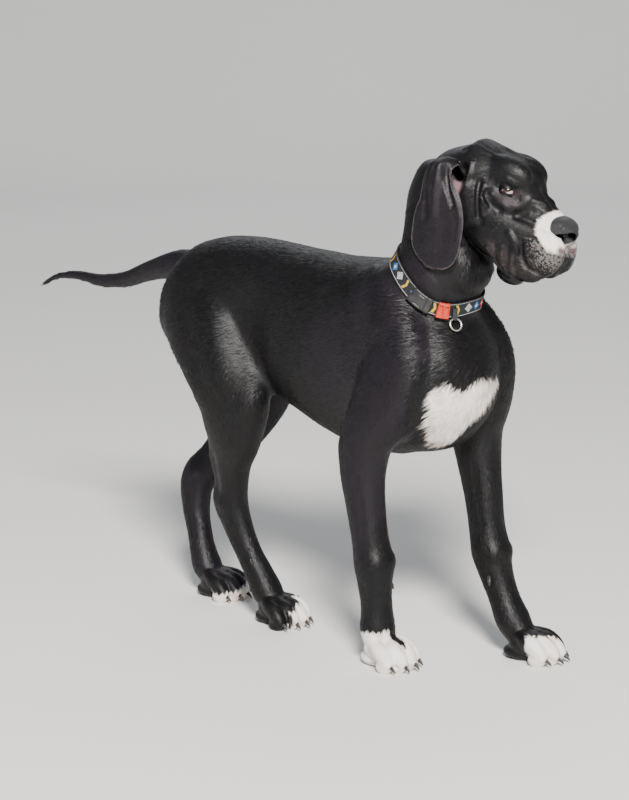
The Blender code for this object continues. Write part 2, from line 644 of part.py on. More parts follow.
def united(target, others):
    """Joins closed pieces into the target by one Boolean union, and removes them."""
    group = bpy.data.collections.new("joining")
    for item in others:
        bpy.context.scene.collection.objects.unlink(item)
        group.objects.link(item)
    bpy.context.scene.collection.children.link(group)
    union = target.modifiers.new("union", "BOOLEAN")
    union.operation = "UNION"
    union.operand_type = "COLLECTION"
    union.collection = group
    union.solver = "MANIFOLD"
    applied(target)
    for item in list(group.objects):
        bpy.data.objects.remove(item)
    bpy.data.collections.remove(group)
    return target


def cut_by(target, cutter, keep_largest=True):
    difference = target.modifiers.new("cut", "BOOLEAN")
    difference.operation = "DIFFERENCE"
    difference.object = cutter
    difference.solver = "MANIFOLD"
    applied(target)
    if keep_largest:
        largest_piece(target)
    return target


def piece_of(target, name, index_faces):
    """A copy of the target that holds only these faces."""
    work = bmesh.new()
    work.from_mesh(target.data)
    work.faces.ensure_lookup_table()
    keep = set(index_faces)
    bmesh.ops.delete(work, geom=[f for f in work.faces if f.index not in keep], context="FACES")
    mesh = bpy.data.meshes.new(name)
    work.to_mesh(mesh)
    work.free()
    made = bpy.data.objects.new(name, mesh)
    bpy.context.scene.collection.objects.link(made)
    return made


def face_islands(target):
    work = bmesh.new()
    work.from_mesh(target.data)
    seen, islands = set(), []
    for face in work.faces:
        if face.index in seen:
            continue
        seen.add(face.index)
        stack, island = [face], []
        while stack:
            current = stack.pop()
            island.append(current.index)
            for edge in current.edges:
                for other in edge.link_faces:
                    if other.index not in seen:
                        seen.add(other.index)
                        stack.append(other)
        islands.append(island)
    work.free()
    return sorted(islands, key=len, reverse=True)


def largest_piece(target):
    islands = face_islands(target)
    if len(islands) > 1:
        keep = piece_of(target, "keep", islands[0])
        old = target.data
        target.data = keep.data
        bpy.data.objects.remove(keep)
        bpy.data.meshes.remove(old)


def slab(centre, normal, across, half_sizes):
    """A box as thin as the gap, with its face along the normal and its first side along `across`."""
    bpy.ops.mesh.primitive_cube_add(size=2.0)
    box = bpy.context.object
    facing = Vector(normal).normalized()
    first = (Vector(across) - facing * Vector(across).dot(facing)).normalized()
    turn = Matrix((first, facing.cross(first), facing)).transposed().to_4x4()
    size = Matrix.Diagonal((half_sizes[0], half_sizes[1], GAP / 2, 1))
    box.data.transform(Matrix.Translation(centre) @ turn @ size)
    return box


def parting_boxes():
    """Thin boxes at the neck and tail, and two at each leg: along its root and across its end."""
    boxes = [
        slab(COLLAR_CENTRE, COLLAR_NORMAL, (0, 1, 0), (0.125, 0.112)),
        slab((-0.404, 0.0, 0.643), (-1, 0, -0.15), (0, 1, 0), (0.05, 0.05)),
    ]
    along_x = Vector((1, 0, 0))
    for side in (-1, 1):
        behind = 0.128 if side < 0 else 0.155
        outward = Vector((0, side * 0.92, -0.39)).normalized()
        root = Vector((0.235, side * 0.100, 0.468))
        boxes.append(slab(root, outward, along_x, (0.135, 0.105)))
        end = Vector((behind, root.y, root.z)) + outward * 0.045
        boxes.append(slab(end, (1, 0, -0.25), outward, (0.0475, 0.12)))
        outward = Vector((0, side * 0.90, -0.43)).normalized()
        root = Vector((-0.245, side * 0.085, 0.522))
        boxes.append(slab(root, outward, along_x, (0.215, 0.137)))
        end = Vector((-0.088 - 0.012 * (side > 0), root.y, root.z)) + outward * 0.055
        boxes.append(slab(end, (1, 0, 0.35), outward, (0.0575, 0.160)))
    return boxes


def separated(target):
    """The closed pieces of an object as objects of their own, largest first."""
    pieces = [piece_of(target, "piece", island) for island in face_islands(target)]
    bpy.data.objects.remove(target)
    return sorted(pieces, key=volume, reverse=True)


def volume(item):
    work = bmesh.new()
    work.from_mesh(item.data)
    found = abs(work.calc_volume())
    work.free()
    return found


def middle(item):
    points, _ = vertex_arrays(item.data)
    return points.mean(0)


def part_trunk(trunk):
    """Parts the fused body and names each piece by where it lies."""
    for box in parting_boxes():
        cut_by(trunk, box, keep_largest=False)
        bpy.data.objects.remove(box)
    nodes = {}
    for piece in separated(trunk):
        x, y, z = middle(piece)
        if volume(piece) < 2e-5:
            bpy.data.objects.remove(piece)
            continue
        side = "left" if y > 0 else "right"
        if not nodes:
            name = "torso"
        elif x < -0.45:
            name = "tail"
        elif z > 0.66:
            name = "neck"
        else:
            name = ("fore_leg_" if x > 0 else "hind_leg_") + side
        print("piece", name, round(volume(piece) * 1e6), "cm3", len(piece.data.polygons))
        if name in nodes:
            raise ValueError("two pieces would be named " + name)
        nodes[name] = piece
    for name, piece in nodes.items():
        if "leg" in name:
            cut_by_plane(piece, (0, 0, PAW_TOP + GAP / 2), (0, 0, -1))
    return nodes


def inflated(target, amount=0.00036):
    """A copy whose skin stands off by the amount, to cut a neighbour clear of it."""
    made = bpy.data.objects.new("clearance", target.data.copy())
    bpy.context.scene.collection.objects.link(made)
    points, normals = vertex_arrays(made.data)
    made.data.vertices.foreach_set("co", (points + normals * amount).ravel())
    made.data.update()
    return made


def cleared_of(target, neighbours):
    """Cuts the target so that it meets each neighbour face to face with a small gap."""
    for neighbour in neighbours:
        cutter = inflated(neighbour)
        cut_by(target, cutter)
        bpy.data.objects.remove(cutter)
    return target


def eye_frame(side):
    """Centre of an eye and the directions it looks, to its outer corner and up, in the head's frame."""
    look = Vector(EYE_AXIS).normalized()
    outer = Vector((0, 0, 1)).cross(look).normalized()
    rise = look.cross(outer)
    flip = Vector((1, side, 1))
    return [np.array(v * flip) for v in (Vector(EYE_CENTRE), look, outer, rise)]


def eyelid(side, upper, columns=15, rows=5):
    """One lid: a strip of a ball just outside the eye, from its edge back to under the skin."""
    centre, look, outer, rise = eye_frame(side)
    turns = np.linspace(LID_EDGES[0][0], LID_EDGES[-1][0], columns)
    column = 1 if upper else 2
    edges = np.interp(turns, [row[0] for row in LID_EDGES], [row[column] for row in LID_EDGES])
    inner, skin = [], []
    for turn, edge in zip(np.radians(turns), np.radians(edges)):
        for share in np.linspace(0, 1, rows):
            height = edge * (1 - share) + math.radians(78 if upper else -78) * share
            flat = look * math.cos(turn) - outer * math.sin(turn)
            way = flat * math.cos(height) + rise * math.sin(height)
            inner.append(centre + way * (EYE_RADIUS + GAP))
            skin.append(centre + way * (EYE_RADIUS + LID_DEPTH * (0.65 + 0.6 * share**0.5)))
    return sheet_solid(np.array(inner), np.array(skin), columns, rows)


def sheet_solid(bottom, top, columns, rows):
    """Points and faces of a thin block between two sheets of points, column by column."""
    faces, total = [], columns * rows
    for i in range(columns - 1):
        for j in range(rows - 1):
            a, b, c, d = i * rows + j, i * rows + j + 1, (i + 1) * rows + j + 1, (i + 1) * rows + j
            faces += [[a, b, c, d], [total + a, total + d, total + c, total + b]]
    rim = [i * rows for i in range(columns)] + [(columns - 1) * rows + j for j in range(1, rows)]
    rim += [i * rows + rows - 1 for i in range(columns - 2, -1, -1)] + [j for j in range(rows - 2, 0, -1)]
    for n, a in enumerate(rim):
        b = rim[(n + 1) % len(rim)]
        faces.append([a, b, total + b, total + a])
    return np.concatenate([bottom, top]), faces


def make_head():
    shapes = [tube(SKULL, 40, 32), tube(LOWER_JAW, 30, 20)]
    for rows in (UPPER_LIP, EAR_RIM):
        shapes += [tube(rows, 30, 20), tube(flipped_rows(rows), 30, 20)]
    for centre, size in HEAD_MASSES:
        shapes += [ellipsoid(centre, size), mirrored(ellipsoid(centre, size))]
    head = fused(mesh_object("head", shapes), HEAD_VOXEL, 6)
    for side in (1, -1):
        settle_dips(head, [(0.105, 0.052 * side, 0.062), (0.165, 0.034 * side, 0.040)], 0.032, 16)
        settle_dips(head, [(0.11, 0.05 * side, -0.03), (0.19, 0.045 * side, -0.02)], 0.030, 10)
    sculpt(head, both_sides(HEAD_STROKES))
    thinned(head, HEAD_TRIANGLES)
    largest_piece(head)
    for side in (1, -1):
        socket_radius = EYE_RADIUS + LID_DEPTH * 0.8
        socket = mesh_object("socket", [ellipsoid(eye_frame(side)[0], (socket_radius,) * 3, 20, 12)])
        cut_by(head, socket)
        bpy.data.objects.remove(socket)
    united(head, [mesh_object("lid", [eyelid(side, upper)]) for side in (1, -1) for upper in (True, False)])
    largest_piece(head)
    head.data.transform(head_matrix())
    return head


def make_eye(name, side):
    centre = eye_frame(side)[0]
    return mesh_object(name, [ellipsoid(centre, (EYE_RADIUS,) * 3, 16, 9)], head_matrix())


def make_nose(head):
    nose = mesh_object("nose", [tube(NOSE_LEATHER, 16, 24, 2.4)])
    for side in (1, -1):
        rows = [(x, y * side, z, a, b, c) for x, y, z, a, b, c in NOSTRIL]
        hole = mesh_object("hole", [tube(rows, 8, 10, 2.0)])
        cut_by(nose, hole)
        bpy.data.objects.remove(hole)
    nose.data.transform(head_matrix())
    return cleared_of(nose, [head])


def ear_sheet(side):
    """A hanging ear: a thin leaf, curled along its edges, folded over where it leaves the skull."""
    dense = resample(EAR, 20)
    centres = dense[:, :3]
    along = np.gradient(centres, axis=0)
    along /= np.linalg.norm(along, axis=1, keepdims=True)
    front = np.tile([1.0, 0.0, 0.0], (len(dense), 1))
    front -= (front * along).sum(1, keepdims=True) * along
    front /= np.linalg.norm(front, axis=1, keepdims=True)
    out = np.cross(front, along)
    v = np.cos(np.linspace(0, np.pi, 8))
    loop = [(a, 1.0) for a in v] + [(a, -1.0) for a in v[-2:0:-1]]
    rings = []
    for k in range(len(dense)):
        width, front_curl, rear_curl, half = dense[k, 3:7]
        ring = []
        for a, face in loop:
            thick = half * face * math.sqrt(max(1 - a**2, 0.0)) if abs(a) < 1 else 0.0
            curl = front_curl if a > 0 else rear_curl
            ring.append(centres[k] + front[k] * a * width + out[k] * (thick - curl * a**2))
        rings.append(ring)
    poles = [centres[0] - along[0] * 0.004, centres[-1] + along[-1] * 0.003]
    points, faces = closed_grid(np.array(rings), poles)
    return points * [1, side, 1], faces


def make_ear(name, side, neighbours):
    ear = mesh_object(name, [ear_sheet(side)], head_matrix())
    return cleared_of(ear, neighbours)


def smooth_loop(points, rounds):
    for _ in range(rounds):
        points = (np.roll(points, 1, 0) + 2 * points + np.roll(points, -1, 0)) / 4
    return points


def collar_band(tree, count=60):
    """Middle line of the collar on the skin, its width direction and the way out, at each step round."""
    turns = np.linspace(-np.pi, np.pi, count, endpoint=False)
    known, heights = np.radians([row[0] for row in COLLAR_HEIGHTS]), [row[1] for row in COLLAR_HEIGHTS]
    path, out = [], []
    for t in turns:
        height = np.interp(abs(t), known, heights) + COLLAR_ROLL * math.sin(t)
        way = Vector((math.cos(t), math.sin(t), 0))
        hit = tree.ray_cast(Vector((COLLAR_CENTRE[0], COLLAR_CENTRE[1], height)), way)
        path.append(hit[0])
        out.append(hit[1] if hit[1].dot(way) > 0 else -hit[1])
    path, out = smooth_loop(np.array(path), 4), smooth_loop(np.array(out), 6)
    along = np.roll(path, -1, 0) - np.roll(path, 1, 0)
    along /= np.linalg.norm(along, axis=1, keepdims=True)
    out -= (out * along).sum(1, keepdims=True) * along
    out /= np.linalg.norm(out, axis=1, keepdims=True)
    wide = np.cross(out, along)
    rows = []
    for share in (-1, 0, 1):
        edge = path + wide * share * COLLAR_WIDTH / 2
        near = [tree.find_nearest(Vector(spot)) for spot in edge]
        lift = np.array([
            max((found[0] - Vector(spot)).dot(Vector(way)), -STRAP_SINK)
            for found, spot, way in zip(near, edge, out)
        ])
        rows.append(smooth_loop(edge + out * (lift + STRAP_LIFT)[:, None], 4))
    return np.array(rows), out


def band_spot(band, turn, across):
    """A point on the band's inner face and the way out, at a turn angle and a share of the width."""
    rows, out = band
    k = (turn + np.pi) / (2 * np.pi) * len(out)
    low, share = int(math.floor(k)), k - math.floor(k)
    a, b = low % len(out), (low + 1) % len(out)
    line = rows[:, a] * (1 - share) + rows[:, b] * share
    way = out[a] * (1 - share) + out[b] * share
    middle_spot, reach = line[1], (line[2] - line[0]) / 2
    bow = (line[0] + line[2]) / 2 - middle_spot
    return middle_spot + reach * across + bow * min(across**2, 1), way / np.linalg.norm(way)


def make_collar(tree):
    band = collar_band(tree)
    profile = (
        (-0.98, 0.0), (0.0, 0.0), (0.98, 0.0), (1.0, 0.0014),
        (0.98, 0.0028), (0.0, COLLAR_THICKNESS), (-0.98, 0.0028), (-1.0, 0.0014),
    )
    rings = []
    for t in np.linspace(-np.pi, np.pi, len(band[1]), endpoint=False):
        section = []
        for across, depth in profile:
            spot, way = band_spot(band, t, across)
            section.append(spot + way * depth)
        rings.append(section)
    return ring_solid("collar_strap", np.array(rings)), band


def ring_solid(name, rings):
    """A closed band: sections that follow each other round and meet the first again."""
    count, around = rings.shape[:2]
    faces = []
    for i in range(count):
        for j in range(around):
            a, b = (i + 1) % count, (j + 1) % around
            faces.append([i * around + j, i * around + b, a * around + b, a * around + j])
    return mesh_object(name, [(rings.reshape(-1, 3), faces)])


def curved_pad(name, band, turn, half_turn, half_height, depth, lower=0.0):
    """A rounded block that lies on the outside of the collar and follows its curve."""
    columns, rows = 9, 7
    top, bottom = [], []
    for u in np.linspace(-1, 1, columns):
        for v in np.linspace(-1, 1, rows):
            swell = (max(1 - u**6, 0) * max(1 - v**6, 0)) ** 0.4
            across = (v * half_height * (0.96 + 0.04 * swell) - lower) / (COLLAR_WIDTH / 2)
            spot, way = band_spot(band, turn + u * half_turn, across)
            bottom.append(spot + way * (COLLAR_THICKNESS + 3 * GAP))
            top.append(spot + way * (COLLAR_THICKNESS + 3 * GAP + depth * (0.35 + 0.65 * swell)))
    return mesh_object(name, [sheet_solid(np.array(bottom), np.array(top), columns, rows)])


def hanging_ring(name, band, turn, radius, wire):
    """A round steel ring that hangs below the collar."""
    spot, way = band_spot(band, turn, -1.05)
    way = Vector(way)
    top = Vector(spot) + way * 0.0075
    down = Vector((0, 0, -1))
    side = way.cross(down).normalized()
    hang = (down + way * 0.45).normalized()
    hub = top + hang * (radius - 0.001)
    rings = []
    for t in np.linspace(0, 2 * np.pi, 28, endpoint=False):
        spoke = hang * math.cos(t) + side * math.sin(t)
        axis = hang.cross(side)
        section = []
        for p in np.linspace(0, 2 * np.pi, 8, endpoint=False):
            section.append(hub + spoke * (radius + wire * math.cos(p)) + axis * wire * math.sin(p))
        rings.append(section)
    return ring_solid(name, np.array(rings))


def finish(nodes):
    """Names, materials and one collection, with the box's bottom middle moved to the origin."""
    group = bpy.data.collections.new("great_dane")
    bpy.context.scene.collection.children.link(group)
    low = np.min([vertex_arrays(item.data)[0].min(0) for item in nodes.values()], axis=0)
    high = np.max([vertex_arrays(item.data)[0].max(0) for item in nodes.values()], axis=0)
    shift = Vector((-(low[0] + high[0]) / 2, -(low[1] + high[1]) / 2, -low[2]))
    print("shift", tuple(round(v, 5) for v in shift), "size", np.round(high - low, 4))
    for name, item in nodes.items():
        item.data.transform(Matrix.Translation(shift))
        item.name = item.data.name = name
        for old in list(item.users_collection):
            old.objects.unlink(item)
        group.objects.link(item)
        finish_name = next((v for k, v in NODE_FINISH.items() if name.startswith(k)), "coat")
        item.data.materials.clear()
        item.data.materials.append(material(finish_name))
        print(name, len(item.data.polygons), "faces", round(volume(item) * 1e6, 1), "cm3")
    print("total", sum(len(item.data.polygons) for item in nodes.values()))


def material(name):
    found = bpy.data.materials.get(name)
    if found is None:
        found = bpy.data.materials.new(name)
        found.use_nodes = True
        shader = found.node_tree.nodes["Principled BSDF"]
        colour, roughness, metallic = FINISHES[name]
        shader.inputs["Base Color"].default_value = colour
        shader.inputs["Roughness"].default_value = roughness
        shader.inputs["Metallic"].default_value = metallic
    return found


def main():
    clear_scene()
    trunk = make_trunk()
    tree = BVHTree.FromObject(trunk, bpy.context.evaluated_depsgraph_get())
    nodes = part_trunk(trunk)
    nodes["head"] = head = make_head()
    cleared_of(nodes["neck"], [head])
    for name, (leg, place, heading) in PAWS.items():
        nodes[name] = make_paw(name, leg, place, heading)
        cut_by_plane(nodes[name], (0, 0, PAW_TOP - GAP / 2), (0, 0, 1))
    strap, band = make_collar(tree)
    nodes["collar_strap"] = cleared_of(strap, [nodes["neck"], nodes["torso"]])
    nodes["collar_buckle"] = curved_pad("collar_buckle", band, BUCKLE_TURN, *BUCKLE_SIZE)
    nodes["collar_slider"] = curved_pad("collar_slider", band, SLIDER_TURN, *SLIDER_SIZE)
    ring = hanging_ring("collar_ring", band, RING_TURN, RING_RADIUS, RING_WIRE)
    nodes["collar_ring"] = ring
    loop = curved_pad("collar_loop", band, RING_TURN, *LOOP_SIZE, lower=LOOP_DROP)
    nodes["collar_loop"] = cleared_of(loop, [ring])
    for side_name, side in (("left", 1), ("right", -1)):
        nodes["eye_" + side_name] = make_eye("eye_" + side_name, side)
        nodes["ear_" + side_name] = make_ear("ear_" + side_name, side, [head, nodes["neck"], strap])
    nodes["nose"] = make_nose(head)
    finish(nodes)


main()
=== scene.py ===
# %% [markdown]
# # A young great dane, standing
# The dog is built in the order that a sculptor would take: one skin from neck to paws, then what sits in
# it or on it (eyes, nose leather, claws, the collar), then the short coat that breaks its outline.
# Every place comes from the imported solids, which are loaded first and never moved.

# %% Load the frame
import json
import math

import bmesh
import bpy
import numpy as np
from mathutils import Matrix, Vector
from mathutils.bvhtree import BVHTree

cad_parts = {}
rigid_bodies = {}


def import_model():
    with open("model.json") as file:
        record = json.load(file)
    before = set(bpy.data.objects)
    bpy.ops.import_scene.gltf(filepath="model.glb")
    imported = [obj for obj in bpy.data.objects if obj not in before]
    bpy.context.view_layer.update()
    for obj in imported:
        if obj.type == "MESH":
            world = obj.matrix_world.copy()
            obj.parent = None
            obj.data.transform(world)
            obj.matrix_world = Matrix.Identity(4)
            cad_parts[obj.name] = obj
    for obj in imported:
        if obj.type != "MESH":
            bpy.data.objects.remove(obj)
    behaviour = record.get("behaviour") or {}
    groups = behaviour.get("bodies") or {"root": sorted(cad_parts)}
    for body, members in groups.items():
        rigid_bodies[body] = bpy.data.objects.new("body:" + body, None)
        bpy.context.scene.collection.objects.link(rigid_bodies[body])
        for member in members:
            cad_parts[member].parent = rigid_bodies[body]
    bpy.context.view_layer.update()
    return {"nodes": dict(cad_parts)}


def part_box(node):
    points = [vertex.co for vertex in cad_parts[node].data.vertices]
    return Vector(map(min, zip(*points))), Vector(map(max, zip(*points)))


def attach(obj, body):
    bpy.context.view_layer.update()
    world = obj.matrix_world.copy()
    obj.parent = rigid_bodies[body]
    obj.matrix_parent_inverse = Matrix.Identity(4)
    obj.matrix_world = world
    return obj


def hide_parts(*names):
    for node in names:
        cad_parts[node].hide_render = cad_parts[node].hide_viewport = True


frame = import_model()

# %% [markdown]
# ## Sizes
# The dog was drawn about an origin on the floor below its withers, and the solids were then shifted so that
# their box stands over the origin. The shift is read back from the box, so both agree to the last digit.
# The tables hold the centre line of each tube of flesh with its reach up, down and to either side.

# %% Driving sizes
SKIN_DEPTH = 0.0009           # how far the skin lies under the coat's outside
TRUNK_GRAIN = 0.0056          # grain of the trunk's mesh
HEAD_GRAIN = 0.0021
PAW_GRAIN = 0.0026
EYE_RADIUS = 0.0122
LID_DEPTH = 0.0030
COLLAR_WIDTH = 0.025
COLLAR_THICKNESS = 0.003
HEAD_ORIGIN = Vector((0.259, 0.007, 0.847))
HEAD_YAW = math.radians(10.0)
HEAD_PITCH = math.radians(16.4)

TORSO = (
    (-0.382, 0.000, 0.575, 0.050, 0.040, 0.050),
    (-0.365, 0.000, 0.572, 0.086, 0.068, 0.080),
    (-0.330, 0.000, 0.570, 0.116, 0.100, 0.098),
    (-0.270, 0.000, 0.572, 0.136, 0.126, 0.104),
    (-0.200, 0.000, 0.575, 0.141, 0.142, 0.100),
    (-0.120, 0.000, 0.570, 0.143, 0.137, 0.092),
    (-0.040, 0.000, 0.555, 0.152, 0.147, 0.096),
    (0.040, 0.000, 0.545, 0.156, 0.168, 0.107),
    (0.110, 0.000, 0.540, 0.163, 0.182, 0.112),
    (0.170, 0.000, 0.535, 0.172, 0.180, 0.112),
    (0.230, 0.000, 0.525, 0.160, 0.167, 0.109),
    (0.285, 0.000, 0.515, 0.125, 0.138, 0.102),
    (0.319, 0.000, 0.515, 0.095, 0.105, 0.090),
    (0.341, 0.000, 0.515, 0.062, 0.070, 0.064),
    (0.351, 0.000, 0.515, 0.030, 0.034, 0.034),
)
NECK = (
    (0.150, 0.000, 0.560, 0.110, 0.120, 0.085),
    (0.215, 0.000, 0.640, 0.075, 0.110, 0.086),
    (0.255, 0.002, 0.700, 0.068, 0.085, 0.079),
    (0.268, 0.004, 0.755, 0.074, 0.070, 0.069),
    (0.278, 0.007, 0.810, 0.084, 0.060, 0.062),
    (0.288, 0.010, 0.850, 0.078, 0.048, 0.052),
)
TAIL = (
    (-0.330, 0.000, 0.640, 0.034, 0.040, 0.034),
    (-0.385, 0.000, 0.644, 0.028, 0.034, 0.027),
    (-0.430, 0.000, 0.638, 0.024, 0.026, 0.023),
    (-0.480, 0.001, 0.625, 0.020, 0.021, 0.020),
    (-0.545, 0.003, 0.604, 0.0165, 0.0175, 0.0165),
    (-0.625, 0.006, 0.594, 0.0135, 0.0145, 0.0135),
    (-0.710, 0.008, 0.597, 0.0100, 0.0110, 0.0100),
    (-0.765, 0.008, 0.589, 0.0080, 0.0085, 0.0080),
    (-0.805, 0.008, 0.573, 0.0060, 0.0060, 0.0060),
)
FORE_RIGHT = (
    (0.175, -0.055, 0.665, 0.045, 0.045, 0.030),
    (0.222, -0.078, 0.600, 0.062, 0.062, 0.038),
    (0.252, -0.094, 0.530, 0.062, 0.082, 0.043),
    (0.230, -0.104, 0.460, 0.058, 0.072, 0.044),
    (0.192, -0.111, 0.402, 0.050, 0.058, 0.041),
    (0.184, -0.113, 0.350, 0.043, 0.044, 0.038),
    (0.192, -0.113, 0.280, 0.035, 0.037, 0.033),
    (0.203, -0.112, 0.215, 0.033, 0.034, 0.033),
    (0.210, -0.112, 0.182, 0.036, 0.036, 0.036),
    (0.211, -0.111, 0.150, 0.031, 0.032, 0.031),
    (0.213, -0.108, 0.100, 0.028, 0.028, 0.029),
    (0.215, -0.107, 0.062, 0.030, 0.029, 0.033),
    (0.219, -0.105, 0.040, 0.026, 0.027, 0.029),
)
FORE_LEFT = (
    (0.180, 0.055, 0.665, 0.045, 0.045, 0.030),
    (0.235, 0.078, 0.600, 0.062, 0.062, 0.038),
    (0.280, 0.096, 0.530, 0.060, 0.082, 0.043),
    (0.272, 0.107, 0.460, 0.056, 0.070, 0.044),
    (0.256, 0.112, 0.402, 0.050, 0.056, 0.041),
    (0.262, 0.110, 0.350, 0.043, 0.044, 0.038),
    (0.279, 0.105, 0.280, 0.035, 0.037, 0.033),
    (0.292, 0.102, 0.215, 0.033, 0.034, 0.033),
    (0.301, 0.101, 0.180, 0.036, 0.036, 0.036),
    (0.313, 0.100, 0.146, 0.031, 0.032, 0.031),
    (0.335, 0.099, 0.098, 0.028, 0.028, 0.029),
    (0.355, 0.098, 0.064, 0.030, 0.029, 0.032),
    (0.372, 0.098, 0.044, 0.026, 0.027, 0.028),
)
HIND_RIGHT = (
    (-0.275, -0.050, 0.630, 0.080, 0.085, 0.045),
    (-0.262, -0.066, 0.565, 0.105, 0.087, 0.052),
    (-0.222, -0.078, 0.490, 0.110, 0.068, 0.054),
    (-0.170, -0.082, 0.415, 0.090, 0.070, 0.048),
    (-0.168, -0.077, 0.360, 0.063, 0.067, 0.041),
    (-0.187, -0.066, 0.300, 0.044, 0.048, 0.033),
    (-0.192, -0.060, 0.258, 0.034, 0.038, 0.028),
    (-0.198, -0.056, 0.222, 0.035, 0.041, 0.028),
    (-0.186, -0.053, 0.180, 0.030, 0.032, 0.026),
    (-0.158, -0.050, 0.125, 0.026, 0.027, 0.024),
    (-0.131, -0.048, 0.085, 0.027, 0.028, 0.027),
    (-0.112, -0.047, 0.056, 0.028, 0.028, 0.029),
    (-0.100, -0.046, 0.040, 0.025, 0.025, 0.026),
)
HIND_LEFT = (
    (-0.280, 0.050, 0.630, 0.080, 0.085, 0.045),
    (-0.270, 0.066, 0.565, 0.105, 0.088, 0.052),
    (-0.245, 0.080, 0.490, 0.098, 0.076, 0.054),
    (-0.247, 0.084, 0.415, 0.066, 0.078, 0.046),
    (-0.278, 0.080, 0.355, 0.054, 0.064, 0.040),
    (-0.315, 0.066, 0.300, 0.044, 0.048, 0.034),
    (-0.350, 0.049, 0.256, 0.035, 0.040, 0.029),
    (-0.379, 0.033, 0.216, 0.036, 0.041, 0.028),
    (-0.377, 0.024, 0.170, 0.030, 0.031, 0.026),
    (-0.359, 0.016, 0.115, 0.026, 0.026, 0.024),
    (-0.345, 0.012, 0.078, 0.027, 0.027, 0.027),
    (-0.333, 0.011, 0.054, 0.028, 0.028, 0.029),
    (-0.321, 0.010, 0.040, 0.025, 0.025, 0.026),
)
PAWS = {
    "fore_paw_right": (FORE_RIGHT, (0.224, -0.103), math.radians(-4.0)),
    "fore_paw_left": (FORE_LEFT, (0.388, 0.099), math.radians(10.0)),
    "hind_paw_right": (HIND_RIGHT, (-0.091, -0.046), math.radians(-2.0)),
    "hind_paw_left": (HIND_LEFT, (-0.304, 0.010), math.radians(4.0)),
}
PAW_SCALE = 1.07
eye_low, eye_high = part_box("eye_left")
HEAD_TURN = Matrix.Rotation(HEAD_YAW, 4, "Z") @ Matrix.Rotation(HEAD_PITCH, 4, "Y")
HEAD_PLACE = Matrix.Translation(HEAD_ORIGIN) @ HEAD_TURN
EYE_CENTRE = (0.1390, 0.0372, 0.0305)
EYE_AXIS = (0.56, 0.81, 0.10)
eye_drawn = HEAD_ORIGIN + HEAD_TURN.to_3x3() @ Vector(EYE_CENTRE)
SHIFT = np.array((eye_low + eye_high) / 2 - eye_drawn)
SHIFT[2] = 0.0
print("shift of the drawing", SHIFT.round(5))


def in_head(spots):
    """Points of the drawing, told in the head's own level frame."""
    place = np.array(HEAD_PLACE)
    return (spots - place[:3, 3]) @ place[:3, :3]


# %% [markdown]
# ## Surfaces from formulas
# Flesh is soft and round, so each limb is a tube carried along its own bone line. A section is a
# superellipse whose four reaches differ, which gives a deep chest and a flat flank with few numbers.
# Fusing the tubes with a voxel remesh gives one skin, and the joints between them are then relaxed.

# %% Tubes and balls
def resample(rows, count):
    """Rows read at even steps of their own length, by cubic Hermite curves through them."""
    keys = np.asarray(rows, float)
    steps = np.linalg.norm(np.diff(keys[:, :3], axis=0), axis=1)
    at = np.concatenate([[0.0], np.cumsum(steps)])
    slopes = np.gradient(keys, at, axis=0)
    wanted = np.linspace(0.0, at[-1], count)
    left = np.clip(np.searchsorted(at, wanted, side="right") - 1, 0, len(at) - 2)
    span = (at[left + 1] - at[left])[:, None]
    t = ((wanted - at[left]) / span[:, 0])[:, None]
    return (
        (2 * t**3 - 3 * t**2 + 1) * keys[left]
        + (t**3 - 2 * t**2 + t) * span * slopes[left]
        + (3 * t**2 - 2 * t**3) * keys[left + 1]
        + (t**3 - t**2) * span * slopes[left + 1]
    )


def unit(vectors):
    """Each row divided by its own length."""
    return vectors / np.maximum(np.linalg.norm(vectors, axis=-1, keepdims=True), 1e-12)


def across(vectors, axes):
    """Each row less the part of it that lies along the axis, at unit length."""
    return unit(vectors - (vectors * axes).sum(-1, keepdims=True) * axes)


def tube_frames(rows, count):
    """Centres, reaches, and unit vectors along, to the left and up, at each ring."""
    dense = resample(rows, count)
    along = unit(np.gradient(dense[:, :3], axis=0))
    left = across(np.tile([0.0, 1.0, 0.0], (count, 1)), along)
    return dense[:, :3], dense[:, 3:6], along, left, np.cross(along, left)


def grid_triangles(rows, columns, wrap=False):
    """Two triangles for each cell of a grid of points; wrap joins the last column to the first."""
    last = columns if wrap else columns - 1
    i, j = np.meshgrid(np.arange(rows - 1), np.arange(last), indexing="ij")
    k = (j + 1) % columns
    a, b, c, d = i * columns + j, i * columns + k, (i + 1) * columns + k, (i + 1) * columns + j
    return np.concatenate([np.stack([a, b, c], -1), np.stack([a, c, d], -1)]).reshape(-1, 3)


def outward(points, triangles):
    """The triangles, turned round where the closed shape's signed volume is below nothing."""
    a, b, c = (points[triangles[:, k]] for k in range(3))
    volume = (np.cross(a, b) * c).sum()
    return triangles if volume > 0 else triangles[:, ::-1]


def closed_stack(rings, poles):
    """A stack of rings closed by a fan to a pole at each end."""
    rows, around = rings.shape[:2]
    points = np.concatenate([rings.reshape(-1, 3), np.asarray(poles, float)])
    j = np.arange(around)
    k = (j + 1) % around
    first, last, top = rows * around, rows * around + 1, (rows - 1) * around
    low_fan = np.stack([np.full(around, first), k, j], -1)
    high_fan = np.stack([np.full(around, last), top + j, top + k], -1)
    triangles = np.concatenate([grid_triangles(rows, around, True), low_fan, high_fan])
    return points, outward(points, triangles)


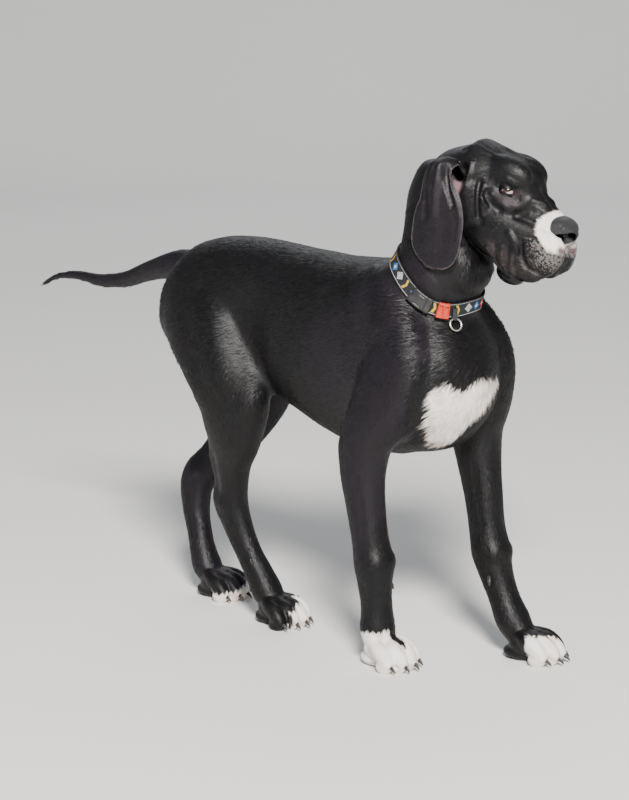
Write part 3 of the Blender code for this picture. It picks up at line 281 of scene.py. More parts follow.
def tube(rows, rings=40, around=28, squareness=2.2, dome=0.6):
    """Centre + reach * sign(cos) |cos|^(2/q) up + width * sign(sin) |sin|^(2/q) left, with domed ends."""
    centres, reach, along, left, up = tube_frames(rows, rings)
    turn = np.linspace(0.0, 2 * np.pi, around, endpoint=False)
    side = np.sign(np.sin(turn)) * np.abs(np.sin(turn)) ** (2.0 / squareness)
    rise = np.sign(np.cos(turn)) * np.abs(np.cos(turn)) ** (2.0 / squareness)
    height = np.where(rise > 0, reach[:, :1], reach[:, 1:2]) * rise
    width = reach[:, 2:3] * side
    body = centres[:, None] + width[..., None] * left[:, None] + height[..., None] * up[:, None]
    ends, poles = [], []
    for end, sign in ((0, -1.0), (-1, 1.0)):
        depth = reach[end].min() * dome
        shares = np.array([0.5, 0.85])[::int(sign)][:, None, None]
        ring = centres[end] + (body[end] - centres[end]) * np.sqrt(1 - shares**2)
        ends.append(ring + sign * shares * depth * along[end])
        poles.append(centres[end] + sign * depth * along[end])
    return closed_stack(np.concatenate([ends[0], body, ends[1]]), poles)


def ball(centre, size, around=24, rows=14):
    """Centre + (sin p cos t, sin p sin t, cos p) * size."""
    polar = np.linspace(0, np.pi, rows + 2)[1:-1][:, None]
    turn = np.linspace(0, 2 * np.pi, around, endpoint=False)
    ahead, aside = np.sin(polar) * np.cos(turn), np.sin(polar) * np.sin(turn)
    rings = np.stack([ahead, aside, np.cos(polar) + 0 * turn], -1)
    poles = np.array([[0, 0, 1.0], [0, 0, -1.0]])
    points, triangles = closed_stack(rings, poles)
    return points * size + np.asarray(centre, float), outward(points, triangles)


def mirrored(shape):
    """The shape with y turned to -y, and its triangles turned round to face outwards again."""
    return shape[0] * [1, -1, 1], shape[1][:, ::-1]


def flipped(rows):
    """A tube's rows with y turned to -y."""
    return tuple((row[0], -row[1]) + tuple(row[2:]) for row in rows)


# %% [markdown]
# ## From arrays to meshes
# Blender takes whole arrays with `foreach_set`, which is many times quicker than adding faces one by one.
# The relaxing and the strokes also run on arrays, as a sculptor's smooth and inflate brushes would.

# %% Meshes and sculpting
def put_mesh(name, points, triangles):
    """An object at the origin from arrays of points and triangles."""
    mesh = bpy.data.meshes.new(name)
    mesh.vertices.add(len(points))
    mesh.vertices.foreach_set("co", np.asarray(points, np.float32).ravel())
    mesh.loops.add(triangles.size)
    mesh.loops.foreach_set("vertex_index", np.asarray(triangles, np.int32).ravel())
    mesh.polygons.add(len(triangles))
    mesh.polygons.foreach_set("loop_start", np.arange(0, triangles.size, 3, dtype=np.int32))
    mesh.polygons.foreach_set("use_smooth", np.full(len(triangles), True))
    mesh.update(calc_edges=True)
    made = bpy.data.objects.new(name, mesh)
    bpy.context.scene.collection.objects.link(made)
    return made


def joined(name, shapes, matrix=None):
    """One object from several closed shapes."""
    starts = np.cumsum([0] + [len(points) for points, _ in shapes[:-1]])
    points = np.concatenate([points for points, _ in shapes])
    triangles = np.concatenate([triangles + start for (_, triangles), start in zip(shapes, starts)])
    made = put_mesh(name, points, triangles)
    if matrix is not None:
        made.data.transform(matrix)
    return made


def applied(target):
    """The object with its modifiers worked into its mesh."""
    graph = bpy.context.evaluated_depsgraph_get()
    mesh = bpy.data.meshes.new_from_object(target.evaluated_get(graph))
    old = target.data
    target.modifiers.clear()
    target.data = mesh
    bpy.data.meshes.remove(old)
    return target


def fused(target, voxel):
    """One skin round all the shapes: a voxel remesh with cells of this size."""
    remesh = target.modifiers.new("fuse", "REMESH")
    remesh.mode = "VOXEL"
    remesh.voxel_size = voxel
    remesh.use_smooth_shade = True
    return applied(target)


def arrays(mesh):
    """Points, normals, edges and triangles of a mesh."""
    points, normals = np.empty(len(mesh.vertices) * 3), np.empty(len(mesh.vertices) * 3)
    mesh.vertices.foreach_get("co", points)
    mesh.vertices.foreach_get("normal", normals)
    edges = np.empty(len(mesh.edges) * 2, int)
    mesh.edges.foreach_get("vertices", edges)
    mesh.calc_loop_triangles()
    triangles = np.empty(len(mesh.loop_triangles) * 3, int)
    mesh.loop_triangles.foreach_get("vertices", triangles)
    return points.reshape(-1, 3), normals.reshape(-1, 3), edges.reshape(-1, 2), triangles.reshape(-1, 3)


def store(mesh, points):
    """Writes moved points back into the mesh."""
    mesh.vertices.foreach_set("co", np.asarray(points, np.float32).ravel())
    mesh.update()


def line_distance(points, line):
    """Distance of each point to a chain of straight stretches."""
    nearest = np.full(len(points), np.inf)
    stops = [np.asarray(stop, float) for stop in line]
    for a, b in zip(stops, stops[1:] or stops):
        run = b - a
        share = np.clip((points - a) @ run / max(run @ run, 1e-12), 0, 1)
        nearest = np.minimum(nearest, np.linalg.norm(points - a - share[:, None] * run, axis=1))
    return nearest


def near(points, line, radius):
    """A bell: (1 - (d / radius)^2)^2 of the distance to the line, and nothing past the radius."""
    stops = np.asarray(line, float)
    bell = np.zeros(len(points))
    inside = np.all((points > stops.min(0) - radius) & (points < stops.max(0) + radius), axis=1)
    share = np.clip(line_distance(points[inside], line) / radius, 0, 1)
    bell[inside] = (1 - share**2) ** 2
    return bell


def relaxed(points, edges, weight, rounds):
    """Each point drawn half way to the mean of its neighbours, times its weight, again and again."""
    count = len(points)
    ends = np.concatenate([edges[:, 0], edges[:, 1]])
    others = np.concatenate([edges[:, 1], edges[:, 0]])
    if np.ndim(weight):
        moving = weight[ends] > 0.01
        ends, others = ends[moving], others[moving]
    degree = np.bincount(ends, minlength=count)[:, None]
    share = 0.5 * (weight[:, None] if np.ndim(weight) else weight) * (degree > 0)
    found = points.copy()
    for _ in range(rounds):
        sums = np.stack([np.bincount(ends, found[others, k], count) for k in range(3)], -1)
        found += (sums / np.maximum(degree, 1) - found) * share
    return found


def settle(target, line, radius, rounds):
    """Relaxes the skin near a line, as strongly as the line's bell."""
    points, _, edges, _ = arrays(target.data)
    store(target.data, relaxed(points, edges, near(points, line, radius), rounds))


def smoothed(target, rounds):
    """Relaxes the whole skin."""
    points, _, edges, _ = arrays(target.data)
    store(target.data, relaxed(points, edges, 1.0, rounds))
    return target


def sculpt(target, strokes):
    """Moves the skin along its normals by each stroke's height times its bell."""
    points, normals, _, _ = arrays(target.data)
    move = np.zeros(len(points))
    for line, radius, height in strokes:
        move += height * near(points, line, radius)
    store(target.data, points + normals * move[:, None])


def both_sides(strokes):
    """Each stroke and its mirror image across the middle."""
    found = []
    for line, radius, height in strokes:
        found.append((line, radius, height))
        found.append(([(x, -y, z) for x, y, z in line], radius, height))
    return found


def boolean(target, others, operation):
    """One exact union or difference of closed meshes; the others are removed."""
    group = bpy.data.collections.new("joining")
    for item in others:
        bpy.context.scene.collection.objects.unlink(item)
        group.objects.link(item)
    bpy.context.scene.collection.children.link(group)
    change = target.modifiers.new("join", "BOOLEAN")
    change.operation = operation
    change.operand_type = "COLLECTION"
    change.collection = group
    change.solver = "MANIFOLD"
    applied(target)
    for item in list(group.objects):
        bpy.data.objects.remove(item)
    bpy.data.collections.remove(group)
    return target


def cut_flat(target, point, normal):
    """Keeps what lies behind the plane and closes the cut."""
    work = bmesh.new()
    work.from_mesh(target.data)
    everything = work.verts[:] + work.edges[:] + work.faces[:]
    bmesh.ops.bisect_plane(
        work, geom=everything, plane_co=point, plane_no=normal, clear_outer=True, dist=1e-7,
    )
    rims = [edge for edge in work.edges if edge.is_boundary]
    bmesh.ops.triangle_fill(work, edges=rims, use_beauty=True, use_dissolve=False)
    bmesh.ops.recalc_face_normals(work, faces=work.faces)
    bmesh.ops.triangulate(work, faces=work.faces)
    work.to_mesh(target.data)
    work.free()


# %% [markdown]
# ## The trunk
# Torso, neck, tail and four legs are one body in life. The strokes then raise the shoulder blade, the
# tendons and the hock, and carve the hollow of the flank, the folds of the throat and the groove of the
# thigh.

# %% Trunk
def leg_strokes(rows, hind):
    """Tendons, joints and muscle edges, placed on the leg's own tube."""
    centres, reach, along, left, up = tube_frames(rows, 60)

    def spot(height, front, side):
        """A place in the leg: shares of its reach to the front or back, and to the side."""
        k = int(np.argmin(np.abs(centres[:, 2] - height)))
        ahead = reach[k, 0] if front > 0 else reach[k, 1]
        return tuple(centres[k] + up[k] * ahead * front + left[k] * reach[k, 2] * side)

    if hind:
        hock = [([spot(0.31, -0.5, side), spot(0.25, -0.45, side)], 0.022, -0.0050) for side in (1.0, -1.0)]
        cords = [([spot(0.17, 0.1, side), spot(0.08, 0.1, side)], 0.010, -0.0022) for side in (1.0, -1.0)]
        return hock + cords + [
            ([spot(0.225, -1.0, 0.0), spot(0.30, -1.0, 0.0)], 0.014, 0.004),
            ([spot(0.222, 0.0, 1.0)], 0.016, 0.0035),
            ([spot(0.222, 0.0, -1.0)], 0.016, 0.0035),
            ([spot(0.20, 1.0, 0.3), spot(0.09, 1.0, 0.1)], 0.007, 0.0012),
        ]
    cords = [([spot(0.15, -0.1, side), spot(0.075, -0.1, side)], 0.010, -0.0024) for side in (1.0, -1.0)]
    return cords + [
        ([spot(0.182, 0.7, 0.6), spot(0.182, 0.7, -0.6)], 0.020, 0.003),
        ([spot(0.165, -1.0, 0.0)], 0.015, 0.0065),
        ([spot(0.40, -1.0, 0.0)], 0.024, 0.008),
        ([spot(0.34, 0.3, 0.9), spot(0.22, 0.3, 0.9)], 0.011, -0.0020),
        ([spot(0.34, 0.3, -0.9), spot(0.22, 0.3, -0.9)], 0.011, -0.0020),
        ([spot(0.33, 0.8, 0.3), spot(0.24, 0.8, 0.3)], 0.010, 0.0015),
    ]


TRUNK_STROKES = (
    (((0.165, 0.060, 0.690), (0.220, 0.100, 0.610)), 0.045, 0.006),                  # shoulder blade
    (((0.090, 0.100, 0.630), (0.105, 0.120, 0.500), (0.140, 0.125, 0.430)), 0.050, -0.005),
    (((0.020, 0.120, 0.440), (0.100, 0.120, 0.390)), 0.050, -0.006),
    (((-0.110, 0.100, 0.600), (-0.120, 0.110, 0.470)), 0.060, -0.006),               # flank
    (((-0.200, 0.115, 0.600), (-0.150, 0.130, 0.470)), 0.050, 0.006),
    (((0.150, 0.050, 0.700), (0.200, 0.085, 0.640), (0.250, 0.100, 0.560)), 0.012, 0.0020),   # its ridge
    (((0.285, 0.070, 0.560), (0.320, 0.060, 0.500)), 0.022, -0.0030),
    (((-0.300, 0.080, 0.600), (-0.285, 0.100, 0.520), (-0.240, 0.110, 0.440)), 0.020, -0.0025),
    (((-0.110, 0.090, 0.420), (-0.150, 0.110, 0.480)), 0.018, -0.0030),
)
THROAT_SKIN = (
    ((0.338, -0.020, 0.709), (0.338, 0.034, 0.709), (0.338, 0.034, 0.688), (0.338, -0.020, 0.688)),
    0.040, 0.0140,
)
THROAT_STROKES = (
    (((0.330, 0.045, 0.700), (0.345, 0.000, 0.688), (0.330, -0.045, 0.700)), 0.008, 0.0030),
    (((0.322, 0.055, 0.728), (0.350, 0.010, 0.716), (0.334, -0.040, 0.730)), 0.008, 0.0030),
    (((0.318, 0.050, 0.755), (0.345, 0.000, 0.744), (0.325, -0.045, 0.752)), 0.008, 0.0028),
    (((0.300, 0.066, 0.690), (0.268, 0.070, 0.740), (0.262, 0.062, 0.790)), 0.012, -0.0022),
    (((0.300, -0.062, 0.690), (0.268, -0.064, 0.740), (0.262, -0.052, 0.790)), 0.012, -0.0022),
)
SOFT_SIDES = (   # joins relaxed on both sides: points, radius, rounds
    (((0.17, 0.09, 0.67), (0.23, 0.11, 0.47)), 0.10, 20),
    (((-0.27, 0.09, 0.66), (-0.17, 0.10, 0.50)), 0.10, 20),
    (((-0.12, 0.07, 0.45), (-0.30, 0.05, 0.44)), 0.05, 11),
    (((0.20, 0.09, 0.40), (0.30, 0.08, 0.42)), 0.05, 11),
)
SOFT_MIDDLE = (   # and at the withers and the root of the tail
    (((0.17, 0.0, 0.70), (0.33, 0.0, 0.62)), 0.11, 22),
    (((-0.37, 0.0, 0.66),), 0.06, 14),
)


def make_trunk():
    """Tubes fused into one skin, relaxed where they join, then sculpted."""
    legs = (FORE_RIGHT, FORE_LEFT, HIND_RIGHT, HIND_LEFT)
    shapes = [tube(TORSO, 80, 56, dome=0.25), tube(NECK, 40, 40), tube(TAIL, 70, 20)]
    shapes += [tube(rows, 90, 32) for rows in legs]
    trunk = smoothed(fused(joined("skin", shapes), TRUNK_GRAIN), 5)
    for side in (-1, 1):
        for line, radius, rounds in SOFT_SIDES:
            settle(trunk, [(x, y * side, z) for x, y, z in line], radius, rounds)
    for line, radius, rounds in SOFT_MIDDLE:
        settle(trunk, line, radius, rounds)
    strokes = both_sides(TRUNK_STROKES) + list(THROAT_STROKES) + [THROAT_SKIN]
    for rows, hind in zip(legs, (False, False, True, True)):
        strokes += leg_strokes(rows, hind)
    sculpt(trunk, strokes)
    return trunk


trunk = make_trunk()
trunk_tree = BVHTree.FromObject(trunk, bpy.context.evaluated_depsgraph_get())
print("trunk", len(trunk.data.polygons), "faces")

# %% [markdown]
# ## Paws
# A great dane stands on four toes with a knuckle each, a pad under each toe and a larger one behind them.
# Each toe is a bent tube. The leg's last stretch is fused in again, a little thinner, so that the paw's
# wrist dives into the leg and no step shows.

# %% Paws
TOES = ((-0.030, -0.004), (-0.0105, 0.008), (0.0105, 0.008), (0.030, -0.004))    # aside and ahead
WRIST_SHARES = (0.86, 0.93, 0.99, 1, 1)     # how thick the leg's last rows are inside the paw


def toe_rows(side, ahead):
    """From the hand to the tip: it rises to a knuckle and bends down to the floor."""
    return (
        (-0.008, side * 0.50, 0.042, 0.0140, 0.018, 0.0130),
        (0.014 + ahead, side * 0.85, 0.040, 0.0140, 0.018, 0.0135),
        (0.030 + ahead, side, 0.034, 0.0135, 0.018, 0.0135),
        (0.042 + ahead, side * 1.05, 0.023, 0.0125, 0.016, 0.0125),
        (0.048 + ahead, side * 1.07, 0.014, 0.0100, 0.012, 0.0105),
    )


def paw_matrix(name):
    """From a paw's own frame to the floor: spread, turned to its heading, put in place."""
    _, place, heading = PAWS[name]
    spread = Matrix.Diagonal((PAW_SCALE, PAW_SCALE, 1, 1))
    return Matrix.Translation((place[0], place[1], 0)) @ Matrix.Rotation(heading, 4, "Z") @ spread


def make_paw(name):
    """Toes, pads and wrist as one skin, creased between the toes and cut off at the floor."""
    leg = PAWS[name][0]
    shapes = [tube(toe_rows(side, ahead), 24, 20, 2.1) for side, ahead in TOES]
    shapes += [ball((0.036 + ahead, side * 1.03, 0.010), (0.017, 0.0115, 0.013)) for side, ahead in TOES]
    shapes.append(ball((-0.010, 0, 0.012), (0.034, 0.029, 0.015)))
    shapes.append(ball((0.004, 0, 0.030), (0.038, 0.034, 0.024)))
    forms = joined("paw", shapes, paw_matrix(name))
    last_rows = zip(leg[-len(WRIST_SHARES):], WRIST_SHARES)
    wrist = [row[:3] + tuple(reach * share for reach in row[3:]) for row, share in last_rows]
    points, _, _, triangles = arrays(forms.data)
    bpy.data.objects.remove(forms)
    whole = joined(name + "_form", [(points, triangles), tube(wrist[1:], 30, 28)])
    paw = smoothed(fused(whole, PAW_GRAIN), 3)
    creases = []
    for a, b in zip(TOES[:-1], TOES[1:]):
        middle = (a[0] + b[0]) / 2
        groove_line = [(0.020, middle, 0.050), (0.046, middle * 1.1, 0.030), (0.050, middle * 1.1, 0.012)]
        creases.append((groove_line, 0.006, -0.0030))
    for side, ahead in TOES:
        knuckle = [(0.026 + ahead, side, 0.049), (0.034 + ahead, side, 0.046)]
        nail_fold = [(0.044 + ahead, side * 1.06 + half, 0.020) for half in (-0.010, 0.010)]
        creases += [(knuckle, 0.009, 0.0012), (nail_fold, 0.005, -0.0008)]
    place = paw_matrix(name)
    placed = [[tuple(place @ Vector(spot)) for spot in line] for line, _, _ in creases]
    sculpt(paw, [(line, radius, height) for line, (_, radius, height) in zip(placed, creases)])
    cut_flat(paw, (0, 0, 0), (0, 0, -1))
    return paw


paws = [make_paw(name) for name in PAWS]
print("paws", [len(paw.data.polygons) for paw in paws], "faces")

# %% [markdown]
# ## The head
# The skull, the jaw and the hanging lips are tubes of their own, with round masses for the cheek muscle,
# the brow and the whisker pads. The head is drawn in its own frame, level and facing +X, which makes both
# sides mirror each other; only at the end is it tipped down and turned to the dog's left.

# %% Head tables
SKULL = (
    (-0.020, 0.000, 0.012, 0.012, 0.034, 0.028),
    (0.005, 0.000, 0.015, 0.043, 0.060, 0.056),
    (0.045, 0.000, 0.010, 0.080, 0.066, 0.065),
    (0.085, 0.000, 0.010, 0.080, 0.068, 0.067),
    (0.115, 0.000, 0.008, 0.078, 0.064, 0.058),
    (0.138, 0.000, 0.006, 0.074, 0.060, 0.051),
    (0.156, 0.000, 0.002, 0.062, 0.054, 0.045),
    (0.172, 0.000, -0.004, 0.050, 0.046, 0.039),
    (0.190, 0.000, -0.008, 0.044, 0.040, 0.036),
    (0.215, 0.000, -0.012, 0.033, 0.034, 0.033),
    (0.230, 0.000, -0.016, 0.029, 0.030, 0.027),
    (0.242, 0.000, -0.020, 0.018, 0.026, 0.021),
)
UPPER_LIP = (
    (0.085, 0.046, -0.030, 0.030, 0.030, 0.014),
    (0.115, 0.048, -0.036, 0.034, 0.036, 0.015),
    (0.145, 0.045, -0.040, 0.036, 0.043, 0.016),
    (0.175, 0.039, -0.044, 0.038, 0.056, 0.017),
    (0.203, 0.034, -0.046, 0.038, 0.061, 0.018),
    (0.228, 0.031, -0.044, 0.034, 0.056, 0.019),
    (0.245, 0.026, -0.042, 0.030, 0.042, 0.018),
    (0.255, 0.017, -0.040, 0.020, 0.024, 0.012),
)
LOWER_JAW = (
    (0.020, 0.000, -0.040, 0.040, 0.036, 0.044),
    (0.070, 0.000, -0.052, 0.030, 0.034, 0.042),
    (0.120, 0.000, -0.062, 0.026, 0.034, 0.034),
    (0.170, 0.000, -0.068, 0.020, 0.028, 0.026),
    (0.210, 0.000, -0.070, 0.016, 0.020, 0.022),
    (0.236, 0.000, -0.068, 0.012, 0.015, 0.018),
)
HEAD_MASSES = (
    ((0.072, 0.048, -0.008), (0.056, 0.028, 0.054)),   # cheek muscle
    ((0.125, 0.027, 0.055), (0.050, 0.026, 0.030)),    # brow over the eye, running back to the temple
    ((0.125, 0.038, 0.006), (0.046, 0.018, 0.030)),    # cheekbone under the eye
    ((0.232, 0.024, -0.046), (0.026, 0.024, 0.030)),   # whisker pad
    ((0.183, 0.027, -0.101), (0.030, 0.016, 0.0210)),  # hanging corner of the lower lip
)
LID_EDGES = (
    (-80, -5, -6), (-55, 6, -10), (-25, 15, -13), (5, 22, -14), (35, 21, -14), (60, 9, -12), (80, -9, -11),
)
EAR_RIM = (
    (0.071, 0.056, 0.060, 0.0030, 0.0030, 0.0030),
    (0.074, 0.063, 0.046, 0.0036, 0.0036, 0.0036),
    (0.0755, 0.069, 0.020, 0.0038, 0.0038, 0.0038),
    (0.071, 0.073, -0.004, 0.0034, 0.0034, 0.0034),
    (0.062, 0.073, -0.018, 0.0026, 0.0026, 0.0026),
)
EAR = (
    (0.040, 0.044, 0.030, 0.015, 0.004, 0.004, 0.0055),
    (0.034, 0.061, 0.051, 0.020, 0.006, 0.008, 0.0052),
    (0.029, 0.078, 0.046, 0.022, 0.007, 0.013, 0.0046),
    (0.0285, 0.087, 0.022, 0.0275, 0.006, 0.013, 0.0040),
    (0.036, 0.090, 0.002, 0.034, 0.005, 0.012, 0.0036),
    (0.0460, 0.091, -0.018, 0.0435, 0.004, 0.010, 0.0032),
    (0.0535, 0.091, -0.042, 0.0490, 0.003, 0.008, 0.0029),
    (0.0575, 0.090, -0.072, 0.0495, 0.003, 0.007, 0.0027),
    (0.0600, 0.089, -0.096, 0.0470, 0.003, 0.006, 0.0025),
    (0.0598, 0.088, -0.114, 0.0380, 0.003, 0.005, 0.0023),
    (0.0590, 0.088, -0.124, 0.0240, 0.002, 0.003, 0.0021),
    (0.0585, 0.088, -0.129, 0.0090, 0.001, 0.001, 0.0018),
)
HEAD_STROKES = (
    (((0.176, 0.0, 0.048), (0.150, 0.0, 0.072), (0.110, 0.0, 0.088)), 0.018, -0.0026),
    (((0.152, 0.040, 0.022), (0.140, 0.046, 0.032), (0.128, 0.052, 0.036)), 0.018, -0.0035),
    (((0.262, 0.010, -0.060), (0.240, 0.030, -0.090)), 0.008, -0.0030),
    (((0.262, 0.0, -0.028), (0.264, 0.0, -0.050), (0.262, 0.0, -0.075)), 0.009, -0.0060),
    (((0.198, 0.050, -0.050), (0.207, 0.052, -0.066), (0.221, 0.053, -0.080), (0.244, 0.049, -0.080)),
     0.009, -0.0028),
    (((0.100, 0.058, -0.066), (0.144, 0.056, -0.080), (0.170, 0.050, -0.096)), 0.008, -0.0030),
    (((0.114, 0.060, 0.017), (0.132, 0.056, 0.012), (0.146, 0.054, 0.000)), 0.010, -0.0022),
    (((0.099, 0.066, 0.034), (0.110, 0.068, -0.001), (0.120, 0.066, -0.030)), 0.010, -0.0025),
    (((0.088, 0.062, 0.030), (0.105, 0.058, 0.044)), 0.016, -0.0025),
    (((0.060, 0.064, 0.042), (0.063, 0.068, 0.020), (0.062, 0.069, 0.004)), 0.0165, -0.0140),
    (((0.152, 0.052, -0.094), (0.168, 0.050, -0.105), (0.192, 0.047, -0.114)), 0.0065, -0.0035),
)
# Creases finer than the solids hold, left side: loose skin of the flews, the cheek, the brow and under
# the eye
FINE_STROKES = (
    (((0.250, 0.020, -0.052), (0.256, 0.026, -0.068), (0.248, 0.032, -0.084)), 0.006, -0.0018),
    (((0.197, 0.053, -0.038), (0.202, 0.051, -0.060), (0.213, 0.050, -0.075), (0.245, 0.042, -0.082)),
     0.006, -0.0026),
    (((0.206, 0.052, -0.044), (0.212, 0.052, -0.060), (0.226, 0.050, -0.070)), 0.009, 0.0020),
    (((0.173, 0.056, -0.032), (0.183, 0.055, -0.041), (0.194, 0.053, -0.056)), 0.009, 0.0030),
    (((0.145, 0.058, -0.062), (0.152, 0.052, -0.080)), 0.006, 0.0018),
    (((0.153, 0.058, -0.058), (0.160, 0.052, -0.084)), 0.005, -0.0016),
    (((0.166, 0.057, -0.056), (0.170, 0.050, -0.088)), 0.006, 0.0016),
    (((0.176, 0.056, -0.054), (0.180, 0.048, -0.093)), 0.005, -0.0018),
    (((0.186, 0.054, -0.058), (0.190, 0.046, -0.096)), 0.006, 0.0018),
    (((0.140, 0.058, -0.068), (0.152, 0.050, -0.086), (0.168, 0.044, -0.098), (0.190, 0.044, -0.104)),
     0.006, 0.0020),
    (((0.128, 0.052, 0.031), (0.114, 0.059, 0.021), (0.113, 0.062, 0.012), (0.128, 0.056, 0.003),
      (0.142, 0.054, -0.002)), 0.006, -0.0024),
    (((0.124, 0.055, 0.021), (0.134, 0.054, 0.012), (0.150, 0.050, 0.006)), 0.009, 0.0024),
    (((0.108, 0.064, 0.016), (0.116, 0.062, 0.004), (0.126, 0.060, -0.006)), 0.006, 0.0018),
    (((0.125, 0.051, 0.032), (0.134, 0.050, 0.044), (0.146, 0.049, 0.047), (0.158, 0.043, 0.038),
      (0.166, 0.041, 0.024)), 0.005, -0.0016),
    (((0.097, 0.060, 0.033), (0.100, 0.065, 0.020), (0.107, 0.068, -0.002), (0.113, 0.065, -0.022)),
     0.006, -0.0028),
    (((0.106, 0.062, 0.028), (0.112, 0.066, 0.006), (0.120, 0.065, -0.018)), 0.007, 0.0018),
    (((0.171, 0.041, 0.011), (0.182, 0.032, 0.028), (0.203, 0.014, 0.028)), 0.009, 0.0022),
    (((0.172, 0.044, 0.000), (0.188, 0.037, 0.012), (0.204, 0.030, 0.012)), 0.010, -0.0022),
    (((0.043, 0.034, 0.072), (0.062, 0.034, 0.082), (0.080, 0.036, 0.080), (0.103, 0.036, 0.078)),
     0.009, 0.0018),
    (((0.152, 0.036, 0.068), (0.166, 0.034, 0.054), (0.172, 0.030, 0.044)), 0.009, 0.0018),
    (((0.142, 0.012, 0.080), (0.158, 0.020, 0.068), (0.170, 0.022, 0.054)), 0.005, -0.0018),
    (((0.150, 0.006, 0.074), (0.164, 0.012, 0.062), (0.176, 0.014, 0.048)), 0.005, 0.0014),
    (((0.126, 0.020, 0.086), (0.144, 0.030, 0.076)), 0.006, -0.0012),
    (((0.226, 0.046, -0.034), (0.234, 0.043, -0.042)), 0.005, 0.0012),
    (((0.214, 0.049, -0.040), (0.226, 0.048, -0.050)), 0.005, 0.0012),
    (((0.190, 0.000, 0.045), (0.215, 0.000, 0.026)), 0.012, -0.0012),
)


# %% Eyelids
LID_SHUT = math.radians(78)   # how far up and down each lid runs under the face
LID_MELT = (0.0139, 0.027)    # the lids melt into the face between these distances from the eye's centre
LID_FOLDS = (   # the brow's skin hangs over the upper lid, and a crease runs back from the outer corner
    (((0.126, 0.054, 0.044), (0.140, 0.051, 0.050), (0.156, 0.044, 0.046)), 0.009, 0.0030),
    (((0.128, 0.053, 0.033), (0.116, 0.060, 0.036), (0.108, 0.063, 0.033)), 0.006, -0.0022),
)


def eye_frame(side):
    """Centre of an eye and the directions it looks, to its outer corner and up, in the head's frame."""
    look = Vector(EYE_AXIS).normalized()
    outer = Vector((0, 0, 1)).cross(look).normalized()
    rise = look.cross(outer)
    flip = Vector((1, side, 1))
    return [np.array(v * flip) for v in (Vector(EYE_CENTRE), look, outer, rise)]


def eyelid(side, upper, columns=56, rows=16):
    """A strip of a ball: radius R + gap inside, and a lip that swells and thins towards the skin outside."""
    centre, look, outer, rise = eye_frame(side)
    degrees = np.linspace(LID_EDGES[0][0], LID_EDGES[-1][0], columns)
    keys = np.array(LID_EDGES, float)
    edge = np.radians(np.interp(degrees, keys[:, 0], keys[:, 1 if upper else 2]))
    edge = np.convolve(np.pad(edge, 3, "edge"), np.ones(7) / 7, "valid")[:, None, None]
    turn = np.radians(degrees)[:, None, None]
    share = np.linspace(0, 1, rows)[None, :, None]
    height = edge * (1 - share) + (LID_SHUT if upper else -LID_SHUT) * share
    way = (look * np.cos(turn) - outer * np.sin(turn)) * np.cos(height) + rise * np.sin(height)
    lip = LID_DEPTH * (0.55 + 0.6 * share**0.5 - 0.35 * np.exp(-((share - 0.25) / 0.1) ** 2))
    inner, skin = centre + way * (EYE_RADIUS + 0.0003), centre + way * (EYE_RADIUS + lip)
    return slab_of(inner.reshape(-1, 3), skin.reshape(-1, 3), columns, rows)


def slab_of(bottom, top, columns, rows):
    """A thin block between two sheets of points, closed along the four rims."""
    total = columns * rows
    rim = [i * rows for i in range(columns)] + [(columns - 1) * rows + j for j in range(1, rows)]
    rim += [i * rows + rows - 1 for i in range(columns - 2, -1, -1)] + [j for j in range(rows - 2, 0, -1)]
    a = np.array(rim)
    b = np.roll(a, -1)
    sheet = grid_triangles(columns, rows)
    walls = np.concatenate([np.stack([total + a, total + b, b], -1), np.stack([total + a, b, a], -1)])
    points = np.concatenate([bottom, top])
    return points, outward(points, np.concatenate([sheet[:, ::-1], sheet + total, walls]))


# %% Head
def make_head():
    """Tubes and balls as one skin, sculpted, with the sockets cut and the lids joined in."""
    shapes = [tube(SKULL, 60, 44), tube(LOWER_JAW, 40, 28)]
    for rows in (UPPER_LIP, EAR_RIM):
        shapes += [tube(rows, 44, 28), tube(flipped(rows), 44, 28)]
    for centre, size in HEAD_MASSES:
        shapes += [ball(centre, size), mirrored(ball(centre, size))]
    head = smoothed(fused(joined("head_form", shapes), HEAD_GRAIN), 9)
    for side in (1, -1):
        settle(head, [(0.105, 0.052 * side, 0.062), (0.165, 0.034 * side, 0.040)], 0.032, 26)
        settle(head, [(0.11, 0.05 * side, -0.03), (0.19, 0.045 * side, -0.02)], 0.030, 16)
    sculpt(head, both_sides(HEAD_STROKES))
    settle(head, [(0.178, 0.0, 0.048), (0.135, 0.0, 0.080), (0.080, 0.0, 0.088)], 0.036, 26)
    sculpt(head, both_sides(FINE_STROKES))
    hollow = (EYE_RADIUS + LID_DEPTH * 0.8,) * 3
    sockets = [joined("socket", [ball(eye_frame(side)[0], hollow, 40, 24)]) for side in (1, -1)]
    boolean(head, sockets, "DIFFERENCE")
    lids = [joined("lid", [eyelid(side, upper)]) for side in (1, -1) for upper in (True, False)]
    boolean(head, lids, "UNION")
    points, _, edges, _ = arrays(head.data)
    for side in (1, -1):      # the lids' far ends melt into the face, and their edges stay sharp
        far = np.linalg.norm(points - eye_frame(side)[0], axis=1)
        melt = np.clip((far - LID_MELT[0]) / 0.0014, 0, 1) * np.clip((LID_MELT[1] - far) / 0.005, 0, 1)
        points = relaxed(points, edges, melt, 40)
    store(head.data, points)
    sculpt(head, both_sides(LID_FOLDS))
    return head


